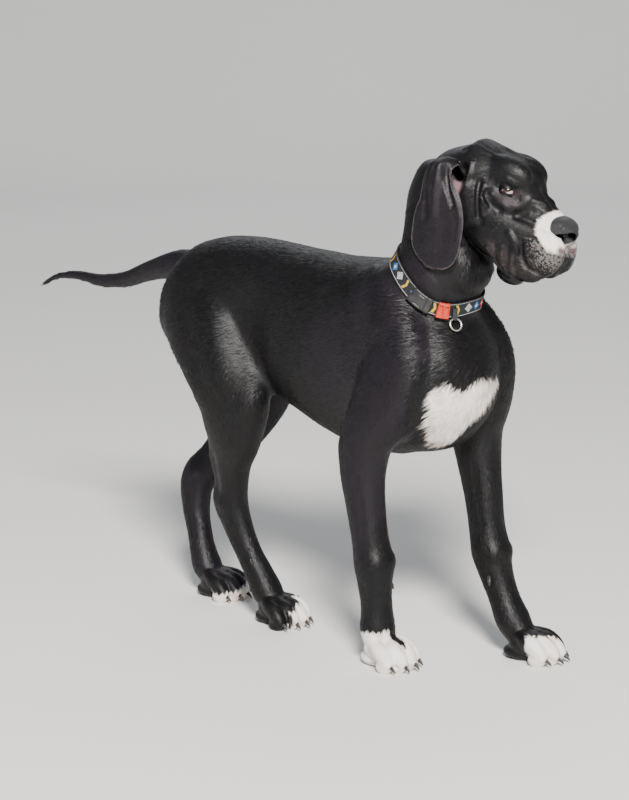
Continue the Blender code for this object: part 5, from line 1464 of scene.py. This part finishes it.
# %% Collar path
COLLAR_CENTRE = (0.2550, 0.003, 0.6840)
COLLAR_HEIGHTS = (
    (0, 0.636), (28, 0.634), (47, 0.636), (62, 0.643), (77, 0.655),
    (88, 0.673), (100, 0.694), (117, 0.713), (145, 0.725), (180, 0.728),
)
COLLAR_ROLL = 0.007
BUCKLE_TURN = math.radians(-72.0)
SLIDER_TURN = math.radians(-46.0)
RING_TURN = math.radians(-31.0)
STEPS = 60


def smooth_loop(values, rounds):
    """(before + 2 own + after) / 4 round a closed loop, again and again."""
    for _ in range(rounds):
        values = (np.roll(values, 1, 0) + 2 * values + np.roll(values, -1, 0)) / 4
    return values


def collar_band(tree):
    """Three lines on the skin (lower edge, middle, upper edge) and the way out, at each step round."""
    turns = np.linspace(-np.pi, np.pi, STEPS, endpoint=False)
    keys = np.array(COLLAR_HEIGHTS, float)
    path, out = [], []
    for t in turns:
        height = np.interp(abs(t), np.radians(keys[:, 0]), keys[:, 1]) + COLLAR_ROLL * math.sin(t)
        way = Vector((math.cos(t), math.sin(t), 0))
        spot, normal, _, _ = tree.ray_cast(Vector((COLLAR_CENTRE[0], COLLAR_CENTRE[1], height)), way)
        path.append(spot)
        out.append(normal)
    path, out = smooth_loop(np.array(path), 4), smooth_loop(np.array(out), 6)
    along = unit(np.roll(path, -1, 0) - np.roll(path, 1, 0))
    out = across(out, along)
    wide = np.cross(out, along)
    rows = []
    for share in (-1, 0, 1):
        edge = path + wide * share * COLLAR_WIDTH / 2
        found = [tree.find_nearest(Vector(spot))[0] for spot in edge]
        lift = np.maximum(((np.array(found) - edge) * out).sum(1), -0.004)
        rows.append(smooth_loop(edge + out * (lift + 0.0026)[:, None], 4))
    return np.array(rows), out


band_rows, band_out = collar_band(trunk_tree)


def band_spot(turn, share):
    """Points on the band's inner face and the way out, for arrays of turns and shares of the half width."""
    k = (np.asarray(turn) + np.pi) / (2 * np.pi) * STEPS
    low = np.floor(k).astype(int)
    mix = (k - low)[..., None]
    a, b = low % STEPS, (low + 1) % STEPS
    lines = [row[a] * (1 - mix) + row[b] * mix for row in band_rows]
    out = unit(band_out[a] * (1 - mix) + band_out[b] * mix)
    share = np.asarray(share)[..., None]
    bow = (lines[0] + lines[2]) / 2 - lines[1]
    return lines[1] + (lines[2] - lines[0]) / 2 * share + bow * np.minimum(share**2, 1), out


def loop_solid(rings):
    """Sections that follow each other round and meet the first again."""
    count, around = rings.shape[:2]
    points = rings.reshape(-1, 3)
    i, j = np.meshgrid(np.arange(count), np.arange(around), indexing="ij")
    a, b = (i + 1) % count, (j + 1) % around
    quads = np.stack([i * around + j, i * around + b, a * around + b, a * around + j], -1).reshape(-1, 4)
    triangles = np.concatenate([quads[:, [0, 1, 2]], quads[:, [0, 2, 3]]])
    return points, outward(points, triangles)


# %% Strap
STRAP_PROFILE = (
    (-0.97, 0.0000), (-0.5, 0.0), (0.0, 0.0), (0.5, 0.0), (0.97, 0.0000),
    (1.0, 0.0007), (1.0, 0.0019), (0.97, 0.0026),
    (0.90, 0.0027), (0.86, 0.0024), (0.5, 0.0026), (0.0, COLLAR_THICKNESS), (-0.5, 0.0026),
    (-0.86, 0.0024), (-0.90, 0.0027), (-0.97, 0.0026), (-1.0, 0.0019), (-1.0, 0.0007),
)
THREADS = 2600                        # turns of the weave, radians in a metre
REPEAT = 0.021                        # length of one printed cell
WEB_DARK, WEB_PALE = (0.012, 0.012, 0.015, 1), (0.024, 0.024, 0.029, 1)
YELLOW_INK = (0.66, 0.46, 0.012, 1)
OTHER_INKS = (   # grey, blue and red, and the draw from which each takes a diamond over
    (0.34, (0.34, 0.36, 0.38, 1)), (0.58, (0.035, 0.12, 0.34, 1)), (0.80, (0.42, 0.035, 0.03, 1)),
)
CORE_INK, BAR_INK, EDGE_INK = (0.50, 0.50, 0.50, 1), (0.55, 0.36, 0.04, 1), (0.30, 0.30, 0.31, 1)


def make_strap(steps=300):
    """The profile carried round the neck: inner face + way out * height, at its share of the width."""
    turns = np.linspace(-np.pi, np.pi, steps, endpoint=False)[:, None]
    profile = np.array(STRAP_PROFILE)
    spots, out = band_spot(turns + 0 * profile[None, :, 0], profile[None, :, 0] + 0 * turns)
    rings = spots + out * profile[None, :, 1:2]
    strap_points, strap_triangles = loop_solid(rings)
    strap = joined("collar_webbing", [(strap_points + SHIFT, strap_triangles)])
    middle = spots[:, 2]
    length = np.concatenate([[0.0], np.cumsum(np.linalg.norm(np.diff(middle, axis=0), axis=1))])
    total = length[-1] + np.linalg.norm(middle[0] - middle[-1])
    ring = strap_triangles // len(profile)
    u = length[ring] + total * ((ring.max(1, keepdims=True) - ring > steps / 2))
    v = profile[:, 0][strap_triangles % len(profile)]
    layer = strap.data.uv_layers.new(name="band")
    layer.data.foreach_set("uv", np.stack([u, v * COLLAR_WIDTH / 2], -1).astype(np.float32).ravel())
    return strap, total


def webbing_finish(name, printed):
    """A weave of two sine waves, with a diamond or a bar printed in each cell along the band."""
    finish = Finish(name, Specular_IOR_Level=0.2)
    spot = finish.put("ShaderNodeUVMap", {"uv_map": "band"}, out="UV")
    u, v = [finish.put("ShaderNodeSeparateXYZ", None, {"Vector": spot}, k) for k in ("X", "Y")]
    warp = (u * THREADS).only("SINE")
    weft = (v * THREADS).only("SINE")
    ribs = warp * weft * 0.5 + 0.5
    colour = finish.mix(finish.noise(spot, 160, 3), WEB_DARK, WEB_PALE)
    high = v.only("ABSOLUTE")
    if printed:
        cell = u / REPEAT
        index = cell.only("FLOOR")
        inside = cell - index - 0.5
        offset = inside.only("ABSOLUTE")
        pick = finish.put("ShaderNodeTexWhiteNoise", {"noise_dimensions": "1D"}, {"W": index + 0.37}, "Value")
        diamond = (offset * 1.9 + high * 95) < 0.80
        core = (offset * 1.9 + high * 95) < 0.36
        bars = ((inside + high * 18).only("ABSOLUTE") < 0.10) * (high < 0.0085)
        ink = YELLOW_INK
        for start, other in OTHER_INKS:
            ink = finish.mix(pick > start, ink, other)
        colour = finish.mix(diamond * (pick > 0.30), colour, ink)
        colour = finish.mix(core * (pick > 0.5), colour, CORE_INK)
        colour = finish.mix(bars * (pick < 0.30), colour, BAR_INK)
        edging = (high > 0.0100) * (high < 0.0111)
        colour = finish.mix(edging, colour, EDGE_INK)
    colour = finish.mix(ribs * 0.35, colour, (0.0, 0.0, 0.0, 1))
    finish.link("Base Color", colour)
    finish.link("Roughness", 0.62 + ribs * 0.2)
    finish.link("Normal", finish.bump(ribs, 0.0004, 0.8))
    return finish.material


strap, strap_length = make_strap()
strap.data.materials.append(webbing_finish("printed_webbing", True))
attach(strap, "root")
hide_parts("collar_strap")
print("collar", round(strap_length * 1000), "mm round")


# %% Slider, buckle and loop
def pad_surface(turn, half_turn, half_height, depth, lower, relief, columns, rows):
    """A rounded block on the band: depth * (0.35 + 0.65 swell) with a moulded relief on its outer face."""
    u, v = np.meshgrid(np.linspace(-1, 1, columns), np.linspace(-1, 1, rows), indexing="ij")
    swell = (np.clip(1 - np.abs(u) ** 8, 0, 1) * np.clip(1 - np.abs(v) ** 8, 0, 1)) ** 0.4
    share = (v * half_height * (0.96 + 0.04 * swell) - lower) / (COLLAR_WIDTH / 2)
    spots, out = band_spot(turn + u * half_turn, share)
    base = COLLAR_THICKNESS + 0.0004
    bottom = spots + out * base
    top = spots + out * (base + depth * (0.35 + 0.65 * swell) + relief(u, v))[..., None]
    return slab_of(bottom.reshape(-1, 3), top.reshape(-1, 3), columns, rows)


def groove(values, at, width, depth):
    """-depth * e^(-((value - at) / width)^2)."""
    return -depth * np.exp(-(((values - at) / width) ** 2))


def slider_relief(u, v):
    """A frame round two sunk windows, with the webbing's bar between them."""
    window = ramp(0.78 - np.abs(u), 0, 0.06) * ramp(0.66 - np.abs(v), 0, 0.08)
    window = window * ramp(np.abs(u) - 0.14, 0, 0.06)
    return -0.0034 * window + 0.0006 * ramp(0.12 - np.abs(u), 0, 0.08)


def buckle_relief(u, v):
    """A clasp: the seam across, two side prongs behind slots, and grip ribs at one end."""
    both = groove(v, 0.62, 0.05, 0.002) + groove(v, -0.62, 0.05, 0.002)
    slots = ramp(0.30 - np.abs(u + 0.1), 0, 0.04) * both
    seam = groove(u, 0.42, 0.03, 0.0016)
    ribs = 0.0005 * np.sin(u * 60) * ramp(-u, 0.55, 0.62) * ramp(0.8 - np.abs(v), 0, 0.1)
    return slots + seam + ribs


def loop_relief(u, v):
    """One fold across the webbing."""
    return groove(v, 0.5, 0.1, 0.0006)


def plastic_finish(name, colour, worn):
    """One colour, worn to another where cloud and scratches meet."""
    finish = Finish(name, Specular_IOR_Level=0.5)
    cloud = finish.noise(finish.place(), 120, 4)
    scratch = finish.noise(finish.place((1, 1, 0.1)), 900, 2)
    finish.link("Base Color", finish.mix((cloud * 0.6 + scratch * 0.4).step(0.42, 0.70), colour, worn))
    finish.link("Roughness", 0.30 + cloud * 0.22)
    finish.link("Normal", finish.bump(finish.noise(finish.place(), 1500, 2), 0.0003, 0.3))
    return finish.material


FITTINGS = (
    ("collar_slider", SLIDER_TURN, 0.13, 0.0142, 0.0075, 0.0, slider_relief, "orange_plastic",
     plastic_finish("orange_moulding", (0.44, 0.030, 0.010, 1), (0.52, 0.060, 0.024, 1))),
    ("collar_buckle", BUCKLE_TURN, 0.20, 0.0142, 0.0080, 0.0, buckle_relief, "black_plastic",
     plastic_finish("black_moulding", (0.012, 0.012, 0.013, 1), (0.030, 0.030, 0.032, 1))),
    ("collar_loop", RING_TURN, 0.06, 0.0110, 0.0062, 0.0055, loop_relief, "webbing",
     plastic_finish("loop_webbing", (0.014, 0.014, 0.018, 1), (0.030, 0.030, 0.036, 1))),
)
for node, turn, half_turn, half_height, depth, lower, relief, slot_name, finish_made in FITTINGS:
    pad_points, pad_triangles = pad_surface(turn, half_turn, half_height, depth, lower, relief, 61, 45)
    pad = joined(node + "_made", [(pad_points + SHIFT, pad_triangles)])
    pad.data.materials.append(finish_made)
    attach(pad, "root")
    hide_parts(node)
print("fittings", [row[0] for row in FITTINGS])


# %% Collar ring
def make_ring(radius=0.0105, wire=0.0016, steps=64, around=18):
    """A torus that hangs from the loop: hub + (R + r cos p) spoke + r sin p axis."""
    spot, way = band_spot(RING_TURN, -1.05)
    top = spot + way * 0.0075
    side = unit(np.cross(way, [0, 0, -1.0]))
    hang = unit(np.array([0, 0, -1.0]) + way * 0.45)
    hub, axis = top + hang * (radius - 0.001), np.cross(hang, side)
    t = np.linspace(0, 2 * np.pi, steps, endpoint=False)[:, None, None]
    p = np.linspace(0, 2 * np.pi, around, endpoint=False)[None, :, None]
    spoke = hang * np.cos(t) + side * np.sin(t)
    return loop_solid(hub + spoke * (radius + wire * np.cos(p)) + axis * wire * np.sin(p))


def steel_finish():
    """Bright metal, dulled in patches."""
    finish = Finish("worn_steel", Metallic=1.0)
    cloud = finish.noise(finish.place(), 260, 4)
    finish.link("Base Color", finish.mix(cloud.step(0.35, 0.7), (0.50, 0.48, 0.45, 1), (0.66, 0.63, 0.58, 1)))
    finish.link("Roughness", 0.20 + cloud * 0.22)
    finish.link("Normal", finish.bump(cloud, 0.0003, 0.4))
    return finish.material


ring_points, ring_triangles = make_ring()
collar_ring = joined("collar_ring_made", [(ring_points + SHIFT, ring_triangles)])
collar_ring.data.materials.append(steel_finish())
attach(collar_ring, "root")
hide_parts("collar_ring")
print("ring", len(ring_triangles), "triangles")

# %% [markdown]
# ## The lie of the coat
# Hair runs back over the head and body, down the neck and legs and out along the tail and ears. Each
# region has a centre line, already known from its tube, and its hair follows that line. Between regions
# the directions are blended by how near each line is, measured in the region's own radius.

# %% Regions and their lie
LINE_STOPS = 28               # stops along each region's line
NEAREST_WINS = 7.0            # how sharply the nearest line outweighs the others


def world_line(rows, side=1):
    """Points of a head table in the drawing's frame."""
    place = np.array(HEAD_PLACE)
    spots = np.asarray([row[:3] for row in rows], float) * [1, side, 1]
    return spots @ place[:3, :3].T + place[:3, 3]


# Each region: centre line, radius, sign of the lie along it, a pull added to it, hair length and how far
# the tips stand off
ON_FORELEG = (0.050, 1, (-0.15, 0.0, 0.0), 0.0080, 0.0004)
ON_HIND_LEG = (0.065, 1, (-0.25, 0.0, 0.0), 0.0090, 0.0004)
ON_EAR = (0.045, 1, (0.0, 0.0, 0.0), 0.0046, 0.0002)
REGIONS = {
    "torso": (np.array(TORSO)[:, :3], 0.130, -1, (0.0, 0.0, -0.45), 0.0120, 0.0005),
    "neck": (np.array(NECK)[:, :3], 0.075, -1, (-0.10, 0.0, -0.20), 0.0110, 0.0005),
    "tail": (np.array(TAIL)[2:, :3], 0.020, 1, (0.0, 0.0, -0.10), 0.0120, 0.0007),
    "fore_right": (np.array(FORE_RIGHT)[2:, :3], *ON_FORELEG),
    "fore_left": (np.array(FORE_LEFT)[2:, :3], *ON_FORELEG),
    "hind_right": (np.array(HIND_RIGHT)[2:, :3], *ON_HIND_LEG),
    "hind_left": (np.array(HIND_LEFT)[2:, :3], *ON_HIND_LEG),
    "head": (world_line(SKULL), 0.085, -1, (0.0, 0.0, -0.18), 0.0042, 0.0002),
    "ear_right": (world_line(EAR[3:], -1), *ON_EAR),
    "ear_left": (world_line(EAR[3:]), *ON_EAR),
}


def lie_of(spots):
    """Region of each point, the hair's direction there, its share along the line and its turn round it."""
    gaps, ways, shares, turns = [], [], [], []
    for line, radius, sign, pull, _, _ in REGIONS.values():
        rows = resample(line, LINE_STOPS)
        along = unit(np.gradient(rows, axis=0))
        distance = np.full(len(spots), np.inf)
        best = np.zeros(len(spots), int)
        for k, stop in enumerate(rows):
            found = np.linalg.norm(spots - stop, axis=1)
            closer = found < distance
            distance[closer] = found[closer]
            best[closer] = k
        gaps.append(distance / radius)
        ways.append(unit(along[best] * sign + np.array(pull)))
        shares.append(best / (LINE_STOPS - 1))
        offset = spots - rows[best]
        side = across(np.tile([0.0, 1.0, 0.05], (len(spots), 1)), along[best])
        rise = np.cross(along[best], side)
        turns.append(np.arctan2((offset * side).sum(1), (offset * rise).sum(1)) / (2 * np.pi) + 0.5)
    gaps = np.array(gaps)
    region = gaps.argmin(0)
    weights = np.exp(-NEAREST_WINS * (gaps - gaps.min(0)))
    way = (weights[..., None] * np.array(ways)).sum(0)
    pick = np.arange(len(spots))
    return region, way, np.array(shares)[region, pick], np.array(turns)[region, pick]


# %% [markdown]
# ## Tufts
# Each tuft is a closed sliver of four faces: two roots just under the skin, a ridge and a tip. There are
# enough of them to cover the dog. Their tips stand off by less than a millimetre, and by up to 3 mm where
# the coat is longer, so the outline is soft on every side. Longer ones grow behind the thighs and forelegs,
# under the belly and tail, and at the chest.

# %% Grow the coat
TUFTS_PER_SQUARE_METRE = 128000
PIECE_TUFTS = 48000
FACE_EXTRA = 0.9              # how many more tufts the short-haired head gets, as a share
COLLAR_CLEAR = 0.60           # no tuft grows nearer the band's middle than this share of its width
RIDGE_SHARE = 0.34            # where along a tuft its ridge stands
ROOT_HALF, ROOT_SHARE = 0.00035, 0.075         # half width at the root, and how much of the length it adds
ACROSS_SCATTER, ALONG_SCATTER = 0.15, 0.05     # how far a hair's shine wanders off the skin's, as a slope
LONG_HAIR = (   # lines where the coat is longer: points, radius, how much longer, how far it stands off
    (((-0.330, -0.060, 0.600), (-0.275, -0.105, 0.480), (-0.235, -0.090, 0.380), (-0.240, -0.066, 0.290)),
     0.045, 0.5, 0.0016),
    (((-0.345, 0.060, 0.600), (-0.310, 0.105, 0.480), (-0.320, 0.090, 0.380), (-0.360, 0.060, 0.290)),
     0.045, 0.5, 0.0016),
    (((-0.400, 0.000, 0.615), (-0.600, 0.003, 0.575), (-0.800, 0.008, 0.565)), 0.030, 0.6, 0.0022),
    (((-0.120, 0.000, 0.430), (0.040, 0.000, 0.380), (0.200, 0.000, 0.355)), 0.060, 0.5, 0.0020),
    (((0.315, -0.060, 0.450), (0.340, 0.000, 0.450), (0.330, 0.050, 0.480)), 0.050, 0.3, 0.0010),
    (((0.150, -0.110, 0.420), (0.145, -0.112, 0.320), (0.165, -0.112, 0.200)), 0.030, 0.4, 0.0012),
    (((0.210, 0.110, 0.420), (0.215, 0.108, 0.320), (0.255, 0.102, 0.200)), 0.030, 0.4, 0.0012),
)


def grow(seed=5):
    """Roots spread over the skin by its area: their places, the ways out and the marks there."""
    rng = np.random.default_rng(seed)
    a, b, c = (points[triangles[:, k]] for k in range(3))
    normal = np.cross(b - a, c - a)
    area = np.linalg.norm(normal, axis=1) / 2
    middle_face = (skin_head[triangles]).mean(1)
    small = (ramp(middle_face[:, 0], -0.06, -0.01) * (area > 0)) * (middle_face[:, 2] > -0.16)
    density = 1.0 + FACE_EXTRA * small
    share = np.cumsum(area * density)
    count = int(TUFTS_PER_SQUARE_METRE * area.sum())
    chosen = np.searchsorted(share, rng.random(count) * share[-1])
    r1, r2 = np.sqrt(rng.random(count)), rng.random(count)
    weights = np.stack([1 - r1, r1 * (1 - r2), r1 * r2], -1)
    corner = triangles[chosen]
    spots = (points[corner] * weights[..., None]).sum(1)
    normals_at = unit((skin_normals[corner] * weights[..., None]).sum(1))
    values = {name: (value[corner] * weights).sum(1) for name, value in marks.items()}
    return rng, spots, normals_at, values


_, skin_normals, _, _ = arrays(skin.data)
rng, spots, outs, values = grow()
face = in_head(spots)
bare = values["lip"] + values["cup"] + values["cave"] + values["flesh"] + 0.8 * values["rim"] > 0.5
for side in (1, -1):
    bare |= np.linalg.norm(face - eye_frame(side)[0], axis=1) < EYE_RADIUS + 0.0045
bare |= near(face, [(0.222, 0, -0.002), (0.262, 0, -0.008)], 0.026) > 0.10
bare |= spots[:, 2] < 0.005
collar_turns = np.linspace(-np.pi, np.pi, 180, endpoint=False)
band_middle, _ = band_spot(collar_turns, 0 * collar_turns)
from_band = np.full(len(spots), np.inf)
for stop in band_middle:
    from_band = np.minimum(from_band, np.linalg.norm(spots - stop, axis=1))
bare |= from_band < COLLAR_WIDTH * COLLAR_CLEAR
spots, outs = spots[~bare], outs[~bare]
values = {name: value[~bare] for name, value in values.items()}
region, way, share, turn = lie_of(spots)
print("tufts", len(spots))


def tuft_shapes():
    """Root left and right, a ridge at a third of the length, and a tip, for every tuft at once.

    Light falls on a sliver as on the skin below it, turned a little about the lie, as on round hairs.
    """
    count = len(spots)
    table = list(REGIONS.values())
    length = np.array([row[4] for row in table])[region] * rng.uniform(0.75, 1.30, count)
    stand = np.array([row[5] for row in table])[region] * rng.uniform(0.5, 1.5, count)
    for line, radius, longer, out in LONG_HAIR:
        bell = near(spots, line, radius)
        length = length * (1 + longer * bell)
        stand = stand + out * bell * rng.uniform(0.0, 1.0, count) ** 2
    paw = ramp(-spots[:, 2], -0.075, -0.050)
    length *= 1 - 0.45 * paw
    stand *= 1 - 0.4 * paw
    drift = np.stack([hash_noise(spots, 0.030, seed) for seed in (11, 12, 13)], -1)
    wander = rng.normal(0, 0.05, (count, 3)) + 0.07 * drift
    lie = across(way + wander, outs)
    side = across(np.cross(lie, outs) + outs * rng.uniform(-0.05, 0.05, (count, 1)), lie)
    wide = (length * ROOT_SHARE + ROOT_HALF)[:, None]
    length, stand = length[:, None], stand[:, None]
    root = spots - outs * 0.0001
    left, right = root - side * wide, root + side * wide
    ridge = spots + lie * length * RIDGE_SHARE + outs * (stand * 0.35 + 0.00008)
    tip = spots + lie * length + outs * stand
    made = np.stack([left, right, ridge, tip], 1)
    made[..., 2] = np.maximum(made[..., 2], 0.0004)
    scatter = rng.normal(0, 1, (count, 2))
    return made, unit(outs + side * scatter[:, :1] * ACROSS_SCATTER + lie * scatter[:, 1:] * ALONG_SCATTER)


TUFT_FACES = np.array([(0, 1, 2), (0, 2, 3), (2, 1, 3), (1, 0, 3)])
corners, shading = tuft_shapes()
columns = 4
cell = np.stack([region % columns, region // columns], -1) / columns
roots_uv = cell + (np.stack([turn, share], -1) * 0.92 + 0.04) / columns
uv_spread = np.array([(-0.0015, 0.0), (0.0015, 0.0), (0.0, 0.0010), (0.0, 0.0030)])
order = np.argsort(region, kind="stable")
for number, start in enumerate(range(0, len(order), PIECE_TUFTS)):
    chosen = order[start:start + PIECE_TUFTS]
    count = len(chosen)
    faces = (TUFT_FACES[None] + 4 * np.arange(count)[:, None, None]).reshape(-1, 3)
    coat = put_mesh(f"coat_{number + 1}", corners[chosen].reshape(-1, 3) + SHIFT, faces)
    add_marks(coat.data, {name: np.repeat(value[chosen], 4) for name, value in values.items()})
    layer = coat.data.uv_layers.new(name="OFBake")
    tuft_uv = (roots_uv[chosen][:, None] + uv_spread).reshape(-1, 2)
    layer.data.foreach_set("uv", tuft_uv[faces.ravel()].astype(np.float32).ravel())
    coat.data.normals_split_custom_set_from_vertices(np.repeat(shading[chosen], 4, axis=0))
    coat.data.materials.append(tuft_material)
    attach(coat, "root")
    print(coat.name, count, "tufts", len(faces), "triangles")

# %% [markdown]
# ## Floor, camera and light
# The floor is a pale dish that rises far behind the dog, so no horizon shows. The camera stands in front
# and to the right, a little over chest height, with a long lens. The light is a large soft one behind the
# camera's right shoulder, for the sun, with a wide fill and a rim from behind.

# %% Stage
CAMERA_TURN = math.radians(42.5)      # from the way the dog faces, round to its right
CAMERA_FAR = 3.81
CAMERA_HIGH = 1.15
CAMERA_DOWN = math.radians(10.7)
CAMERA_ASIDE = math.radians(0.4)
LENS = 95.6                           # millimetres, for a 36 mm sensor along the long side


def make_floor(around=96, rows=40):
    """A surface of revolution: flat to the rim, then rising as a quarter of a circle."""
    share = np.linspace(0, 1, rows)[:, None]
    radius = 14.0 * share**1.3
    height = 5.0 * np.clip((radius - 9.0) / 5.0, 0, 1) ** 2
    turn = np.linspace(0, 2 * np.pi, around, endpoint=False)
    rings = np.stack([radius * np.cos(turn), radius * np.sin(turn), height + 0 * turn], -1)
    flat = rings.reshape(-1, 3)
    return put_mesh("floor", flat, grid_triangles(rows, around, True)[:, ::-1])


floor = make_floor()
stage_finish = Finish("pale_floor", Specular_IOR_Level=0.2)
cloud = stage_finish.noise(stage_finish.place(), 0.8, 3)
stage_finish.link("Base Color", stage_finish.mix(cloud, (0.72, 0.71, 0.69, 1), (0.76, 0.75, 0.73, 1)))
stage_finish.link("Roughness", 0.75 + cloud * 0.1)
floor.data.materials.append(stage_finish.material)

eye_point = np.array([CAMERA_FAR * math.sin(CAMERA_TURN), -CAMERA_FAR * math.cos(CAMERA_TURN), CAMERA_HIGH])
yaw = CAMERA_TURN + CAMERA_ASIDE
level = math.cos(CAMERA_DOWN)
look_way = Vector((-math.sin(yaw) * level, math.cos(yaw) * level, -math.sin(CAMERA_DOWN)))
camera = bpy.data.objects.new("camera", bpy.data.cameras.new("camera"))
bpy.context.scene.collection.objects.link(camera)
camera.location = Vector(eye_point + SHIFT)
camera.rotation_euler = look_way.to_track_quat("-Z", "Y").to_euler()
camera.data.sensor_width = 36.0
camera.data.lens = LENS
camera.data.dof.use_dof = False
bpy.context.scene.camera = camera


def area_light(name, place, aim, size, watts, colour):
    """A round light that looks from its place to its aim."""
    light = bpy.data.lights.new(name, "AREA")
    light.shape = "DISK"
    light.size, light.energy, light.color = size, watts, colour
    made = bpy.data.objects.new(name, light)
    bpy.context.scene.collection.objects.link(made)
    made.location = place
    made.rotation_euler = (Vector(aim) - Vector(place)).to_track_quat("-Z", "Y").to_euler()


area_light("key", (4.9, -4.2, 5.0), (0.1, 0, 0.5), 1.8, 1650, (1.0, 0.97, 0.92))
area_light("fill", (-3.6, -5.6, 3.4), (0, 0, 0.5), 5.0, 40, (0.88, 0.93, 1.0))
area_light("back", (-5.0, 6.0, 7.0), (-1.5, 2.5, 0), 9.0, 400, (0.96, 0.98, 1.0))
world = bpy.data.worlds.new("studio")
bpy.context.scene.world = world
world.use_nodes = True
world.node_tree.nodes["Background"].inputs["Color"].default_value = (0.80, 0.86, 0.95, 1)
world.node_tree.nodes["Background"].inputs["Strength"].default_value = 0.25
print("camera", [round(v, 3) for v in camera.location])
